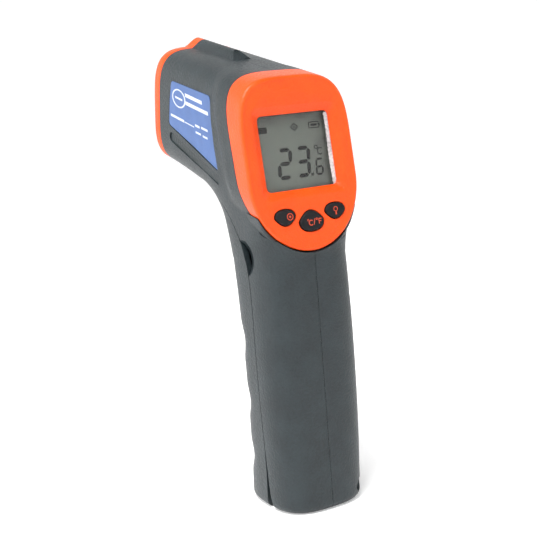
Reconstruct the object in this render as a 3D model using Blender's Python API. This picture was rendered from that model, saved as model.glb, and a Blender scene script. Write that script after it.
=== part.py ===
"""Pistol-grip infrared thermometer, modelled as an assembly of separate pieces.

World frame: +Z up, +Y the way the thermometer points, +X to the user's right.
The origin is on the flat base of the handle, in the middle of the base insert.
Lengths in this file are millimetres; MM turns them into Blender's metres.
"""
import math

import bmesh
import bpy
from mathutils import Matrix, Vector

MM = 0.001
ASSEMBLY = "infrared_thermometer"

# ---- driving dimensions -------------------------------------------------------------------------
GAP = 0.3                   # clearance between pieces that meet
WALL = 2.0                  # wall of the moulded shells
SPLIT = 0.15                # half the gap between the left and right shells
MERGE = 0.01                # points closer than this are one point
FLAT_ANGLE = 0.001          # radians between faces that count as one plane
WIDE, REAR_Y, TOP_Z = 40.0, -60.0, 170.0    # limits of cutters that pass the body on every side

GRIP_BACK_Y = -18.0         # back of the handle
GRIP_TOP_Z = 92.0           # where the handle starts to bend into the barrel
GRIP_WAIST_Z = 50.0         # slimmest height of the handle
GRIP_WAIST_Y = 13.3         # front of the handle at its waist
GRIP_FLARE = 4.8            # growth of the front, GRIP_FLARE_RUN above or below the waist
GRIP_FLARE_RUN = 45.0
GRIP_HALF_WIDTH = 18.8
GRIP_ROUNDNESS = 3.0        # exponent of the superelliptic section
FINGER_GROOVES = ((62.0, 8.0), (39.0, 7.5), (18.0, 7.5))   # height and half length of each
FINGER_DEPTH = 2.5
FOOT_ROUND = 3.0            # rounding of the handle's lower edge

BARREL_PITCH = math.radians(11.6)
NOSE_HALF_WIDTH = 19.0
BARREL_ROUNDNESS = 4.0
COLLAR_BAND = 6.5           # straight part of the collar in front of the bezel
COLLAR_FADE = 7.5           # length over which the collar sinks into the flank

BEZEL_LEAN = math.radians(8.0)
BEZEL_Y, BEZEL_Z = -14.3, 122.2     # centre of the bezel's face
BEZEL_HALF_WIDTH = 21.5
BEZEL_TOP, BEZEL_BOTTOM = 31.6, -28.5
BEZEL_UPPER_CENTRE, BEZEL_LOWER_CENTRE = 6.0, -4.0
BEZEL_UPPER_ROUNDNESS = 3.7
REST_ARC_RADIUS = 94.0      # side view of the seam between bezel and body: a line, then this arc
REST_ARC_Y, REST_ARC_Z = -97.8, 141.5
REST_LINE_Z = 125.0
REST_TOP_Y, REST_TOP_Z = 0.1, 155.4
REST_SLOPE = 0.178
REST_FOOT_Z = 93.5
SHOULDER_Z = 101.5          # below this the shells keep their shoulders outside the bezel
SHOULDER_DROP = 3.5         # the shoulders fall by this from the seam to their rear edge

WINDOW_HALF_WIDTH = 14.0
WINDOW_LOW, WINDOW_HIGH = -6.8, 19.0
RIDGE_HEIGHT = 3.4
RIDGE_START_Y = 22.0

DOOR_SEAM_Y = -4.0          # side seam between handle and battery door
DOOR_SEAM_BEND_Z = 78.0
NOTCH_Y, NOTCH_Z = -1.2, 92.3
HINGE_Y, HINGE_Z = 14.2, 3.2
HINGE_PIN_RADIUS = 0.9
TRIGGER_PIN_Y, TRIGGER_PIN_Z = 20.5, 116.5
TRIGGER_HALF_WIDTH = 6.0

NOSE_RING_DEPTH = 6.6
LENS_DROP = 3.5             # lens axis below the middle of the nose
LASER_RISE = 11.5           # laser axis above the middle of the nose

SCREWS = ((-13.5, 4.6, 10.0), (-11.0, 76.0, 12.5), (11.5, 112.5, 12.5), (8.0, 149.0, 12.5),
          (47.5, 126.0, 10.8), (35.5, 158.0, 12.5))     # y, z and where the head sits in the flank
SCREW_CORE_RADIUS = 1.0
BOSS_RADIUS = 2.8


# ---- scene and materials ------------------------------------------------------------------------
for old in list(bpy.data.objects):
    bpy.data.objects.remove(old, do_unlink=True)

PARTS = bpy.data.collections.new(ASSEMBLY)
CUTTERS = bpy.data.collections.new("cutters")
for collection in (PARTS, CUTTERS):
    bpy.context.scene.collection.children.link(collection)


def material(name, colour, roughness, metallic=0.0, alpha=1.0):
    made = bpy.data.materials.new(name)
    made.use_nodes = True
    shader = made.node_tree.nodes["Principled BSDF"]
    shader.inputs["Base Color"].default_value = (*colour, 1.0)
    shader.inputs["Roughness"].default_value = roughness
    shader.inputs["Metallic"].default_value = metallic
    shader.inputs["Alpha"].default_value = alpha
    made.diffuse_color = (*colour, alpha)
    return made


GREY = (0.085, 0.100, 0.098)
ORANGE = (0.90, 0.13, 0.02)
BLACK = (0.02, 0.02, 0.022)
STEEL = (0.55, 0.56, 0.58)
BRASS = (0.60, 0.42, 0.14)
BOARD_GREEN = (0.02, 0.17, 0.06)


# ---- small helpers ------------------------------------------------------------------------------
def new_object(name, mesh, collection=PARTS):
    made = bpy.data.objects.new(name, mesh)
    collection.objects.link(made)
    return made


def finish_part(part, colour, roughness, metallic=0.0, alpha=1.0, smooth_angle=35.0):
    part.data.materials.clear()
    part.data.materials.append(material(part.name + "_material", colour, roughness, metallic, alpha))
    part.data.shade_smooth()
    part.data.set_sharp_from_angle(angle=math.radians(smooth_angle))
    return part


def grid_solid(name, rings, collection=CUTTERS):
    """A closed solid through rings of points, in millimetres, with flat ends."""
    mesh = bpy.data.meshes.new(name)
    work = bmesh.new()
    loops = [[work.verts.new(Vector(point) * MM) for point in ring] for ring in rings]
    for low, high in zip(loops, loops[1:]):
        for i in range(len(low)):
            j = (i + 1) % len(low)
            work.faces.new((low[i], low[j], high[j], high[i]))
    work.faces.new(list(reversed(loops[0])))
    work.faces.new(loops[-1])
    bmesh.ops.recalc_face_normals(work, faces=work.faces)
    bmesh.ops.triangulate(work, faces=work.faces)
    work.to_mesh(mesh)
    work.free()
    return new_object(name, mesh, collection)


def prism_x(name, outline, x_low, x_high, collection=CUTTERS):
    """A side-view outline of (y, z) points, extruded from x_low to x_high."""
    rings = [[(x, y, z) for y, z in outline] for x in (x_low, x_high)]
    return grid_solid(name, rings, collection)


def box(name, low, high, frame=None, collection=CUTTERS, round_edges=0.0):
    work = bmesh.new()
    bmesh.ops.create_cube(work, size=1.0)
    middle = (Vector(low) + Vector(high)) / 2
    size = Vector(high) - Vector(low)
    bmesh.ops.scale(work, vec=size * MM, verts=work.verts)
    bmesh.ops.translate(work, vec=middle * MM, verts=work.verts)
    if round_edges:
        bmesh.ops.bevel(work, geom=work.edges[:], offset=round_edges * MM, segments=2,
                        affect="EDGES", profile=0.5)
    mesh = bpy.data.meshes.new(name)
    work.to_mesh(mesh)
    work.free()
    made = new_object(name, mesh, collection)
    if frame is not None:
        made.matrix_world = frame
    return made


def cylinder(name, radius, start, end, frame=None, collection=CUTTERS, radius_end=None, sides=24):
    """A cylinder or cone along Z of its frame, from start to end (x, y, z) points."""
    start, end = Vector(start), Vector(end)
    work = bmesh.new()
    bmesh.ops.create_cone(work, cap_ends=True, segments=sides, radius1=radius * MM,
                          radius2=(radius if radius_end is None else radius_end) * MM,
                          depth=(end - start).length * MM)
    turn = (end - start).to_track_quat("Z", "Y").to_matrix().to_4x4()
    bmesh.ops.transform(work, matrix=Matrix.Translation((start + end) / 2 * MM) @ turn,
                        verts=work.verts)
    mesh = bpy.data.meshes.new(name)
    work.to_mesh(mesh)
    work.free()
    made = new_object(name, mesh, collection)
    if frame is not None:
        made.matrix_world = frame
    return made


def turned(name, profile, frame, collection=PARTS, sides=32):
    """A turned solid about Z of its frame; the profile is (radius, height), outer side first."""
    rings = [[(radius * math.cos(turn), radius * math.sin(turn), height)
              for turn in (2 * math.pi * i / sides for i in range(sides))]
             for radius, height in profile]
    mesh = bpy.data.meshes.new(name)
    work = bmesh.new()
    loops = [[work.verts.new(Vector(point) * MM) for point in ring] for ring in rings]
    for low, high in zip(loops, loops[1:] + loops[:1]):
        for i in range(sides):
            j = (i + 1) % sides
            work.faces.new((low[i], low[j], high[j], high[i]))
    bmesh.ops.recalc_face_normals(work, faces=work.faces)
    work.to_mesh(mesh)
    work.free()
    made = new_object(name, mesh, collection)
    made.matrix_world = frame
    return made


def wire(name, points, radius, colour, roughness=0.5, metallic=0.0, smooth=True, sides=2):
    """A round wire through points in millimetres, as a curve with filled ends."""
    if smooth:
        points = smooth_path(points, 5)
    curve = bpy.data.curves.new(name, "CURVE")
    curve.dimensions = "3D"
    curve.bevel_depth = radius * MM
    curve.bevel_resolution = sides
    curve.use_fill_caps = True
    spline = curve.splines.new("POLY")
    spline.points.add(len(points) - 1)
    for slot, point in zip(spline.points, points):
        slot.co = (*(Vector(point) * MM), 1.0)
    made = new_object(name, curve)
    curve.materials.append(material(name + "_material", colour, roughness, metallic))
    return made


def catmull(points, place):
    """The point at a place, counted in points, on a smooth curve through a list of tuples."""
    last = len(points) - 1
    i = min(int(place), last - 1)
    t = place - i
    before, here = points[max(i - 1, 0)], points[i]
    after, beyond = points[i + 1], points[min(i + 2, last)]
    return tuple(
        0.5 * (2 * b + (c - a) * t + (2 * a - 5 * b + 4 * c - d) * t ** 2
               + (3 * b - a - 3 * c + d) * t ** 3)
        for a, b, c, d in zip(before, here, after, beyond))


def smooth_path(points, steps):
    count = (len(points) - 1) * steps
    return [catmull(points, i / steps) for i in range(count + 1)]


def clean(mesh):
    """Merge points closer than a micrometre and drop the slivers that this leaves."""
    work = bmesh.new()
    work.from_mesh(mesh)
    bmesh.ops.remove_doubles(work, verts=work.verts, dist=MERGE * MM)
    bmesh.ops.dissolve_degenerate(work, edges=work.edges, dist=MERGE * MM)
    work.to_mesh(mesh)
    work.free()


def hang_on_axis(part, x, y, z):
    """Put a moving piece's origin on its joint's axis without moving the piece."""
    origin = Vector((x, y, z)) * MM
    part.data.transform(Matrix.Translation(-origin) @ part.matrix_world)
    part.matrix_world = Matrix.Translation(origin)
    return part


def flatten(part):
    """Make one flat face of neighbours in one plane, then split all faces into triangles again."""
    work = bmesh.new()
    work.from_mesh(part.data)
    bmesh.ops.dissolve_limit(work, angle_limit=FLAT_ANGLE, verts=work.verts, edges=work.edges)
    bmesh.ops.triangulate(work, faces=work.faces)
    work.to_mesh(part.data)
    work.free()


def boolean(target, operation, others):
    """Boolean target with each of the other objects, applied at once."""
    for other in others:
        step = target.modifiers.new(operation.lower(), "BOOLEAN")
        step.operation = operation
        step.solver = "EXACT"
        step.object = other
        evaluated = target.evaluated_get(bpy.context.evaluated_depsgraph_get())
        mesh = bpy.data.meshes.new_from_object(evaluated)
        target.modifiers.remove(step)
        target.data = mesh
        clean(target.data)
    return target


def duplicate(source, name, collection=CUTTERS):
    made = new_object(name, source.data.copy(), collection)
    made.matrix_world = source.matrix_world.copy()
    return made


def joined(name, objects):
    """Several closed bodies in one cutter, merged by a Boolean union."""
    first = duplicate(objects[0], name)
    first.data.transform(first.matrix_world)
    first.matrix_world = Matrix.Identity(4)
    return boolean(first, "UNION", objects[1:])


# ---- the body's outer form ----------------------------------------------------------------------
def grip_front(z):
    return GRIP_WAIST_Y + GRIP_FLARE * ((z - GRIP_WAIST_Z) / GRIP_FLARE_RUN) ** 2


def finger_groove(z):
    """Depth of the finger grooves at a height."""
    depth = 0.0
    for middle, half_length in FINGER_GROOVES:
        reach = (z - middle) / half_length
        if abs(reach) < 1.0:
            depth += FINGER_DEPTH * 0.5 * (1.0 + math.cos(math.pi * reach))
    return depth


# Sections of the bend and the barrel: rear y, z; front y, z; half width; roundness.
BEND_SECTIONS = (
    (GRIP_BACK_Y, 80.0, grip_front(80.0), 80.0, 18.4, 3.0),
    (GRIP_BACK_Y, GRIP_TOP_Z, grip_front(GRIP_TOP_Z), GRIP_TOP_Z, 18.4, 3.0),
    (-21.0, 102.0, 19.6, 99.5, 18.6, 3.1),
    (-27.0, 116.0, 22.0, 105.6, 19.0, 3.3),
    (-30.0, 131.0, 25.4, 109.8, 19.3, 3.6),
    (-26.0, 144.5, 29.0, 112.9, 19.5, 3.9),
    (-13.0, 152.7, 33.5, 115.2, 19.5, 4.0),
    (2.0, 155.8, 39.3, 117.0, 19.5, 4.0),
    (20.0, 159.5, 46.5, 119.1, 19.4, 4.0),
    (37.0, 163.0, 54.2, 121.1, 19.2, 4.0),
    (52.8, 166.2, 61.8, 122.9, 19.0, 4.0),
    (68.6, 169.4, 69.4, 124.7, 18.8, 4.0),
)
BEND_FIRST, BEND_LAST = 1, len(BEND_SECTIONS) - 2


def bezel_half_width(u, inset=0.0):
    """Half width of the bezel's outline at height u on its face, 0 beyond its ends."""
    half = BEZEL_HALF_WIDTH - inset
    if u > BEZEL_UPPER_CENTRE:
        reach = (u - BEZEL_UPPER_CENTRE) / (BEZEL_TOP - inset - BEZEL_UPPER_CENTRE)
        power = BEZEL_UPPER_ROUNDNESS
    elif u < BEZEL_LOWER_CENTRE:
        reach = (BEZEL_LOWER_CENTRE - u) / (BEZEL_LOWER_CENTRE - BEZEL_BOTTOM - inset)
        power = 2.0
    else:
        return half
    return half * max(0.0, 1.0 - reach ** power) ** (1.0 / power)


def bezel_height(y, z):
    """Height u on the bezel's face that the barrel's direction carries to a side-view point."""
    across = ((z - BEZEL_Z) * math.cos(BARREL_PITCH) - (y - BEZEL_Y) * math.sin(BARREL_PITCH))
    return across / math.cos(BARREL_PITCH + BEZEL_LEAN)


def rest_y(z):
    """Side view of the seam where the bezel rests on the body."""
    if z >= REST_LINE_Z:
        return REST_TOP_Y + REST_SLOPE * (z - REST_TOP_Z)
    rise = min(abs(z - REST_ARC_Z), REST_ARC_RADIUS)
    return REST_ARC_Y + math.sqrt(REST_ARC_RADIUS ** 2 - rise ** 2)


def collar(x, y, z, inset):
    """Widen a flank point so that the body meets the bezel's outline in a raised collar."""
    ahead = y - rest_y(z)
    fade = min(max((ahead - COLLAR_BAND) / COLLAR_FADE, 0.0), 1.0)
    weight = 1.0 - fade * fade * (3.0 - 2.0 * fade)
    if weight <= 0.0 or z < REST_FOOT_Z - 6.0:
        return x
    growth = max(bezel_half_width(bezel_height(y, z), inset) - abs(x), 0.0)
    return x + math.copysign(growth * weight, x) if abs(x) > 0.01 else x


def section(rear, front, half_width, roundness, inset, count, groove=0.0):
    """One closed section of the body between a rear and a front side-view point."""
    (rear_y, rear_z), (front_y, front_z) = rear, front
    length = math.hypot(front_y - rear_y, front_z - rear_z)
    along_y, along_z = (front_y - rear_y) / length, (front_z - rear_z) / length
    middle = length / 2
    points = []
    for i in range(count):
        turn = 2 * math.pi * i / count
        c, s = math.cos(turn), math.sin(turn)
        reach = middle - inset - (groove if c > 0 else 0.0)
        v = middle + reach * math.copysign(abs(c) ** (2.0 / roundness), c)
        x = (half_width - inset) * math.copysign(abs(s) ** (2.0 / roundness), s)
        y, z = rear_y + along_y * v, rear_z + along_z * v
        points.append((collar(x, y, z, inset), y, z))
    return points


def foot_inset(z):
    """How far the rounded foot of the handle lies inside its sides at a height."""
    below = max(FOOT_ROUND - z, 0.0) / FOOT_ROUND
    return FOOT_ROUND * (1.0 - math.sqrt(1.0 - below * below)) if z >= 0 else 0.0


def body_form(name, inset, count, base_z, grip_steps, bend_steps, end_reach):
    """The body without its ridge, as a closed solid; inset makes the cavity inside it."""
    rings = []
    grip_heights = [base_z + (GRIP_TOP_Z - base_z) * i / (grip_steps + 1) for i in range(1, grip_steps + 1)]
    for z in [base_z, base_z + FOOT_ROUND / 3, base_z + FOOT_ROUND] + grip_heights:
        half = GRIP_HALF_WIDTH - 1.3 * ((z - 55.0) / 55.0) ** 2
        rings.append(section((GRIP_BACK_Y, z), (grip_front(z), z), half, GRIP_ROUNDNESS,
                             inset + foot_inset(z), count, finger_groove(z)))
    for i in range(bend_steps + 1):
        place = BEND_FIRST + (BEND_LAST + end_reach - BEND_FIRST) * i / bend_steps
        rear_y, rear_z, front_y, front_z, half, roundness = catmull(BEND_SECTIONS, place)
        rings.append(section((rear_y, rear_z), (front_y, front_z), half, roundness, inset, count))
    return grid_solid(name, rings)


def barrel_top(y):
    return REST_TOP_Z + math.tan(BARREL_PITCH) * (y - REST_TOP_Y)


def ridge_form(name, y_end):
    """The sight ridge: a bell-shaped rib on the barrel's top with a sloping rear face."""
    rings = []
    bell = [-1.0 + i / 5.0 for i in range(11)]
    for step in range(3):
        share = step / 2.0
        y = RIDGE_START_Y + (y_end - RIDGE_START_Y) * share
        half_width = 4.6 + 1.6 * share
        ring = []
        for t in bell:
            rise = RIDGE_HEIGHT * (0.5 + 0.5 * math.cos(math.pi * t)) ** 0.8
            lean = 1.2 * rise if step == 0 else 0.0
            ring.append((half_width * t, y + lean, barrel_top(y + lean) + rise - 0.35))
        ring.append((half_width, y, barrel_top(y) - 3.0))
        ring.append((-half_width, y, barrel_top(y) - 3.0))
        rings.append(ring)
    return grid_solid(name, rings)


outer = body_form("body_outer", 0.0, 32, 0.0, 20, 16, 0.0)
inner = body_form("body_cavity", WALL, 16, 2.2, 7, 9, 0.4)
in_wall = body_form("middle_of_wall", 0.7, 16, 0.7, 7, 9, 0.3)
ridge = ridge_form("ridge_form", 55.5)
nose_origin = Vector((0.0, 57.3, 144.55))
barrel_frame = (Matrix.Translation(nose_origin * MM)
                @ Matrix.Rotation(BARREL_PITCH - math.pi / 2, 4, "X"))
bezel_frame = (Matrix.Translation(Vector((0.0, BEZEL_Y, BEZEL_Z)) * MM)
               @ Matrix.Rotation(math.pi / 2 - BEZEL_LEAN, 4, "X"))
nose_trim = box("nose_trim", (-30, -40, 0.0), (30, 40, 30), barrel_frame)
boolean(outer, "UNION", [ridge])
boolean(outer, "DIFFERENCE", [nose_trim])


# ---- cutters shared by the shells ---------------------------------------------------------------
def seam_outline(gap):
    """Side view of the battery door's region; gap grows it for the hole in the shells."""
    bend = [(DOOR_SEAM_Y, 70.0), (-3.6, 80.0), (-1.9, 90.0), (0.6, 97.4), (4.6, 103.4),
            (9.6, 108.2), (16.0, 111.0), (30.0, 112.4)]
    side = [(y - gap, z + gap * 0.5) for y, z in smooth_path(bend, 3)]
    foot = [(DOOR_SEAM_Y - gap, 24.0), (-3.4 - gap, 14.0), (-1.2, -1.0)]
    if gap:
        foot = [(DOOR_SEAM_Y - gap, 24.0), (DOOR_SEAM_Y - gap, 6.0), (-5.6, -1.0)]
    return [(40.0, -1.0), (40.0, 112.6 + gap)] + list(reversed(side)) + foot


door_region = prism_x("door_region", seam_outline(0.0), -30, 30)
door_hole = prism_x("door_hole", seam_outline(GAP), -30, 30)


def behind_rest(name, shift, foot_z, drop=0.0):
    """Everything behind the bezel's seam, above a height that falls away by a drop at the rear."""
    heights = [foot_z + i * (TOP_Z - foot_z) / 14 for i in range(15)]
    outline = [(rest_y(z) + shift, z) for z in heights]
    outline += [(REAR_Y, TOP_Z), (REAR_Y, foot_z - drop), (BEZEL_Y - 4.0, foot_z - drop)]
    return prism_x(name, outline, -WIDE, WIDE)


bezel_zone = behind_rest("bezel_zone", -GAP / 2, REST_FOOT_Z - 0.5)
above_shoulders = behind_rest("above_shoulders", GAP / 2, SHOULDER_Z, SHOULDER_DROP)


def bezel_ring(inset, depth, count=44):
    """The bezel's outline at a depth under its face, where it is swept along the barrel."""
    shift = max(depth, 0.0) * math.tan(BARREL_PITCH + BEZEL_LEAN)
    half = BEZEL_HALF_WIDTH - inset
    points = []
    for i in range(count):
        turn = 2 * math.pi * (i + 0.5) / count
        c, s = math.cos(turn), math.sin(turn)
        if s > 0:
            power = 2.0 / BEZEL_UPPER_ROUNDNESS
            u = BEZEL_UPPER_CENTRE + (BEZEL_TOP - inset - BEZEL_UPPER_CENTRE) * s ** power
            x = half * math.copysign(abs(c) ** power, c)
        else:
            u = BEZEL_LOWER_CENTRE + (BEZEL_LOWER_CENTRE - BEZEL_BOTTOM - inset) * s
            x = half * c
        points.append((x, u + shift, -depth))
    return points


bezel_pocket = grid_solid("bezel_pocket", [bezel_ring(-GAP, -16.0), bezel_ring(-GAP, 0.0),
                                           bezel_ring(-GAP, 14.0)])
bezel_pocket.data.transform(bezel_frame)
boolean(bezel_pocket, "INTERSECT", [behind_rest("pocket_zone", GAP / 2, REST_FOOT_Z - 1.0)])
rim_hollow = grid_solid("rim_hollow", [bezel_ring(-GAP, -16.0), bezel_ring(-GAP, 0.0),
                                       bezel_ring(-GAP, 20.0)])
rim_hollow.data.transform(bezel_frame)


def label_outline(grow=0.0):
    """Side view of the flank label, whose rear edge is slightly bent, in the shell's recess."""
    corners = [(11.8, 122.4), (49.6, 138.6), (44.1, 154.7), (13.4, 148.5), (13.4, 135.0)]
    middle = Vector((30.0, 141.0))
    return [tuple(Vector(c) + (Vector(c) - middle).normalized() * grow) for c in corners]


LABEL_FLOOR_X = 18.9
STRIP_FLOOR_X = 18.5


def strip_outline():
    """Side view of the groove under the label, with a round front end."""
    slope = math.atan2(15.0, 36.6)
    along = Vector((math.cos(slope), math.sin(slope)))
    across = Vector((-along.y, along.x))
    rear, front, half = Vector((12.0, 118.9)), Vector((48.4, 133.7)), 1.9
    tip = [front + half * (math.cos(a) * across + math.sin(a) * along)
           for a in (math.pi * i / 8 for i in range(9))]
    return [tuple(point) for point in [rear + across * half] + tip + [rear - across * half]]


def side_cutters(side):
    """Recesses in one flank: label, groove strip and the pull notch behind the door."""
    near = (side * LABEL_FLOOR_X, side * 30.0)
    strip = (side * STRIP_FLOOR_X, side * 30.0)
    notch_x = side * 25.5
    label = prism_x("label_recess", label_outline(0.35), min(near), max(near))
    groove = prism_x("strip_recess", strip_outline(), min(strip), max(strip))
    notch = sphere("notch", 9.6, (notch_x, NOTCH_Y, NOTCH_Z))
    return [label, groove, notch]


def sphere(name, radius, middle):
    work = bmesh.new()
    bmesh.ops.create_uvsphere(work, u_segments=24, v_segments=14, radius=radius * MM)
    bmesh.ops.translate(work, vec=Vector(middle) * MM, verts=work.verts)
    mesh = bpy.data.meshes.new(name)
    work.to_mesh(mesh)
    work.free()
    return new_object(name, mesh, CUTTERS)


base_recess = box("base_recess", (-12.9, -9.3, -1.0), (12.9, 30.0, 2.6))
trigger_slot = box("trigger_slot", (-6.7, 14.0, 98.0), (6.7, 27.4, 115.5))


def side_box(name, side, x_reach, y_reach, z_reach):
    """A box on one side, given by its reach from the middle plane, along Y and along Z."""
    low_x, high_x = sorted((side * x_reach[0], side * x_reach[1]))
    return box(name, (low_x, y_reach[0], z_reach[0]), (high_x, y_reach[1], z_reach[1]))


def shell_half(side, name):
    """One half of the body shell: side is -1 for the left half and 1 for the right."""
    half = duplicate(outer, name, PARTS)
    boolean(half, "DIFFERENCE", [inner])
    bosses = []
    for y, z, _ in SCREWS:
        bosses.append(cylinder("boss", BOSS_RADIUS, (0, y, z), (side * 24, y, z), sides=16))
    pin_boss = cylinder("pin_boss", 2.7, (side * 7.0, TRIGGER_PIN_Y, TRIGGER_PIN_Z),
                        (side * 24, TRIGGER_PIN_Y, TRIGGER_PIN_Z), sides=16)
    shelf = side_box("shelf", side, (3.2, 24), (-17.4, 6.0), (66.0, 67.4))
    pad = sphere("notch_pad", 11.2, (side * 25.5, NOTCH_Y, NOTCH_Z))
    rim = side_box("shoulder_rim", side, (7.0, 24), (-26.0, -8.2), (96.0, 107.0))
    boolean(rim, "DIFFERENCE", [rim_hollow])
    extras = joined("extras", bosses + [pin_boss, shelf, pad, rim])
    boolean(extras, "INTERSECT", [in_wall])
    boolean(half, "UNION", [extras])
    cuts = [door_hole, above_shoulders, bezel_pocket, base_recess, trigger_slot] + side_cutters(side)
    cuts.append(side_box("other_side", side, (-60, SPLIT), (-90, 120), (-20, 200)))
    for y, z, head_x in SCREWS:
        if side > 0:
            cuts.append(cylinder("screw_hole", 1.5, (-1, y, z), (20, y, z), sides=12))
            cuts.append(cylinder("head_hole", 2.6, (head_x - 0.3, y, z), (30, y, z), sides=16))
        else:
            cuts.append(cylinder("screw_hole", 1.3, (1, y, z), (-11.5, y, z), sides=12))
    cuts.append(cylinder("pin_hole", 1.3, (0, TRIGGER_PIN_Y, TRIGGER_PIN_Z),
                         (side * 10.4, TRIGGER_PIN_Y, TRIGGER_PIN_Z), sides=16))
    boolean(half, "DIFFERENCE", cuts)
    flatten(half)
    return finish_part(half, GREY, 0.55)


shell_half(-1, "housing_left")
shell_half(1, "housing_right")


# ---- battery door, base insert and hinge --------------------------------------------------------
def battery_door():
    door = duplicate(outer, "battery_door", PARTS)
    boolean(door, "DIFFERENCE", [inner])
    lugs = joined("lugs", [side_box("lug", side, (8.2, 10.6), (HINGE_Y - 2.0, 18.6), (1.2, 5.3))
                           for side in (-1, 1)])
    boolean(lugs, "INTERSECT", [in_wall])
    boolean(door, "UNION", [lugs])
    boolean(door, "INTERSECT", [door_region])
    slot = round_footed("trigger_gap", TRIGGER_HALF_WIDTH + 1.0, 84.0)
    floor_slot = box("floor_slot", (-13.4, -20, -2), (13.4, HINGE_Y + 1.9, 2.4))
    clear_lugs = box("clear_lugs", (-8.0, 0, -2), (8.0, HINGE_Y + 2.3, 5.4))
    pin_hole = cylinder("hinge_hole", 1.2, (-14, HINGE_Y, HINGE_Z), (14, HINGE_Y, HINGE_Z), sides=16)
    boolean(door, "DIFFERENCE", [slot, floor_slot, clear_lugs, pin_hole])
    flatten(door)
    hang_on_axis(door, 0.0, HINGE_Y, HINGE_Z)
    return finish_part(door, GREY, 0.55)


def round_footed(name, half, foot_z):
    """A block with a half-round foot, seen from the front: the trigger's form and its slot."""
    top_z = 130.0
    arc = [(half * math.cos(a), foot_z + half - half * math.sin(a))
           for a in (math.pi * i / 12 for i in range(13))]
    outline = [(half, top_z)] + arc + [(-half, top_z)]
    rings = [[(x, y, z) for x, z in outline] for y in (4.0, 50.0)]
    return grid_solid(name, rings)


battery_door()

insert = box("base_insert", (-12.6, -9.0, 0.0), (12.6, 12.4, 2.2), collection=PARTS)
knuckle = cylinder("knuckle", 1.9, (-7.8, HINGE_Y, HINGE_Z), (7.8, HINGE_Y, HINGE_Z), sides=20)
web = box("knuckle_web", (-7.8, 10.0, 0.0), (7.8, HINGE_Y, 2.2))
rest_pad = box("battery_rest", (-9.0, -7.6, 1.0), (9.0, 5.0, 8.8))
boolean(insert, "UNION", [web, knuckle, rest_pad])
door_relief = box("door_relief", (-14, 10.8, -1), (14, 20, 1.2))
boolean(insert, "DIFFERENCE", [door_relief, cylinder("insert_hole", 1.2, (-14, HINGE_Y, HINGE_Z),
                                                     (14, HINGE_Y, HINGE_Z), sides=16)])
finish_part(insert, GREY, 0.6)
hinge_pin = cylinder("door_hinge_pin", HINGE_PIN_RADIUS, (-10.5, HINGE_Y, HINGE_Z),
                     (10.5, HINGE_Y, HINGE_Z), collection=PARTS, sides=16)
finish_part(hinge_pin, STEEL, 0.3, 1.0)


# ---- display bezel and what sits behind it ------------------------------------------------------
def rounded_outline(half_width, low, high, radius, steps=4):
    """A rectangle with round corners, in the plane of the bezel's face."""
    corners = ((half_width, high, 0.0), (-half_width, high, 0.5), (-half_width, low, 1.0),
               (half_width, low, 1.5))
    points = []
    for x, u, quarter in corners:
        centre_x, centre_u = x - math.copysign(radius, x), u - math.copysign(radius, u - (low + high) / 2)
        for i in range(steps + 1):
            turn = math.pi * (quarter + 0.5 * i / steps)
            points.append((centre_x + radius * math.cos(turn), centre_u + radius * math.sin(turn)))
    return points


def face_plate(name, outline, w_low, w_high, collection=PARTS):
    """An outline on the bezel's face as a plate between two heights over that face."""
    rings = [[(x, u, w) for x, u in outline] for w in (w_low, w_high)]
    made = grid_solid(name, rings, collection)
    made.matrix_world = bezel_frame
    return made


# Each key on the bezel's face: middle x, middle u, half width, half height, 1 for a point upward.
KEYS = {"key_left": (-9.5, -15.7, 4.0, 2.7, -1), "key_centre": (0.5, -18.0, 4.8, 3.5, 1),
        "key_right": (10.4, -15.8, 4.0, 2.7, -1)}


def key_outline(name, grow=0.0):
    """A rounded triangle: the centre key points up, the outer keys point down."""
    middle_x, middle_u, half_width, half_height, way = KEYS[name]
    points = []
    for i in range(20):
        turn = 2 * math.pi * i / 20
        pinch = 1.0 - 0.34 * way * math.sin(turn)
        x = (half_width + grow) * math.cos(turn) * (pinch if way * math.sin(turn) > 0 else 1.0)
        points.append((middle_x + x, middle_u + (half_height + grow) * math.sin(turn)))
    return points


def display_bezel():
    rings = [bezel_ring(1.4, 0.0), bezel_ring(0.55, 0.25), bezel_ring(0.15, 0.8),
             bezel_ring(0.0, 1.8), bezel_ring(0.0, 16.0)]
    bezel = grid_solid("display_bezel", rings, PARTS)
    bezel.matrix_world = bezel_frame
    hollow = grid_solid("bezel_hollow", [bezel_ring(1.9, 2.2), bezel_ring(1.9, 18.0)])
    hollow.matrix_world = bezel_frame
    slope = [[(x, u, w) for x, u in rounded_outline(WINDOW_HALF_WIDTH + grow, WINDOW_LOW - grow,
                                                    WINDOW_HIGH + grow, 2.0 + grow)]
             for grow, w in ((0.0, -4.0), (0.0, -0.8), (2.75, -0.05), (4.0, 0.4))]
    opening = grid_solid("window_opening", slope)
    opening.matrix_world = bezel_frame
    holes = [face_plate(name + "_hole", key_outline(name, GAP), -4.0, 1.0, CUTTERS) for name in KEYS]
    bezel.data.transform(bezel.matrix_world)
    bezel.matrix_world = Matrix.Identity(4)
    boolean(bezel, "DIFFERENCE", [hollow, opening] + holes)
    boolean(bezel, "INTERSECT", [bezel_zone])
    flatten(bezel)
    return finish_part(bezel, ORANGE, 0.35)


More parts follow.
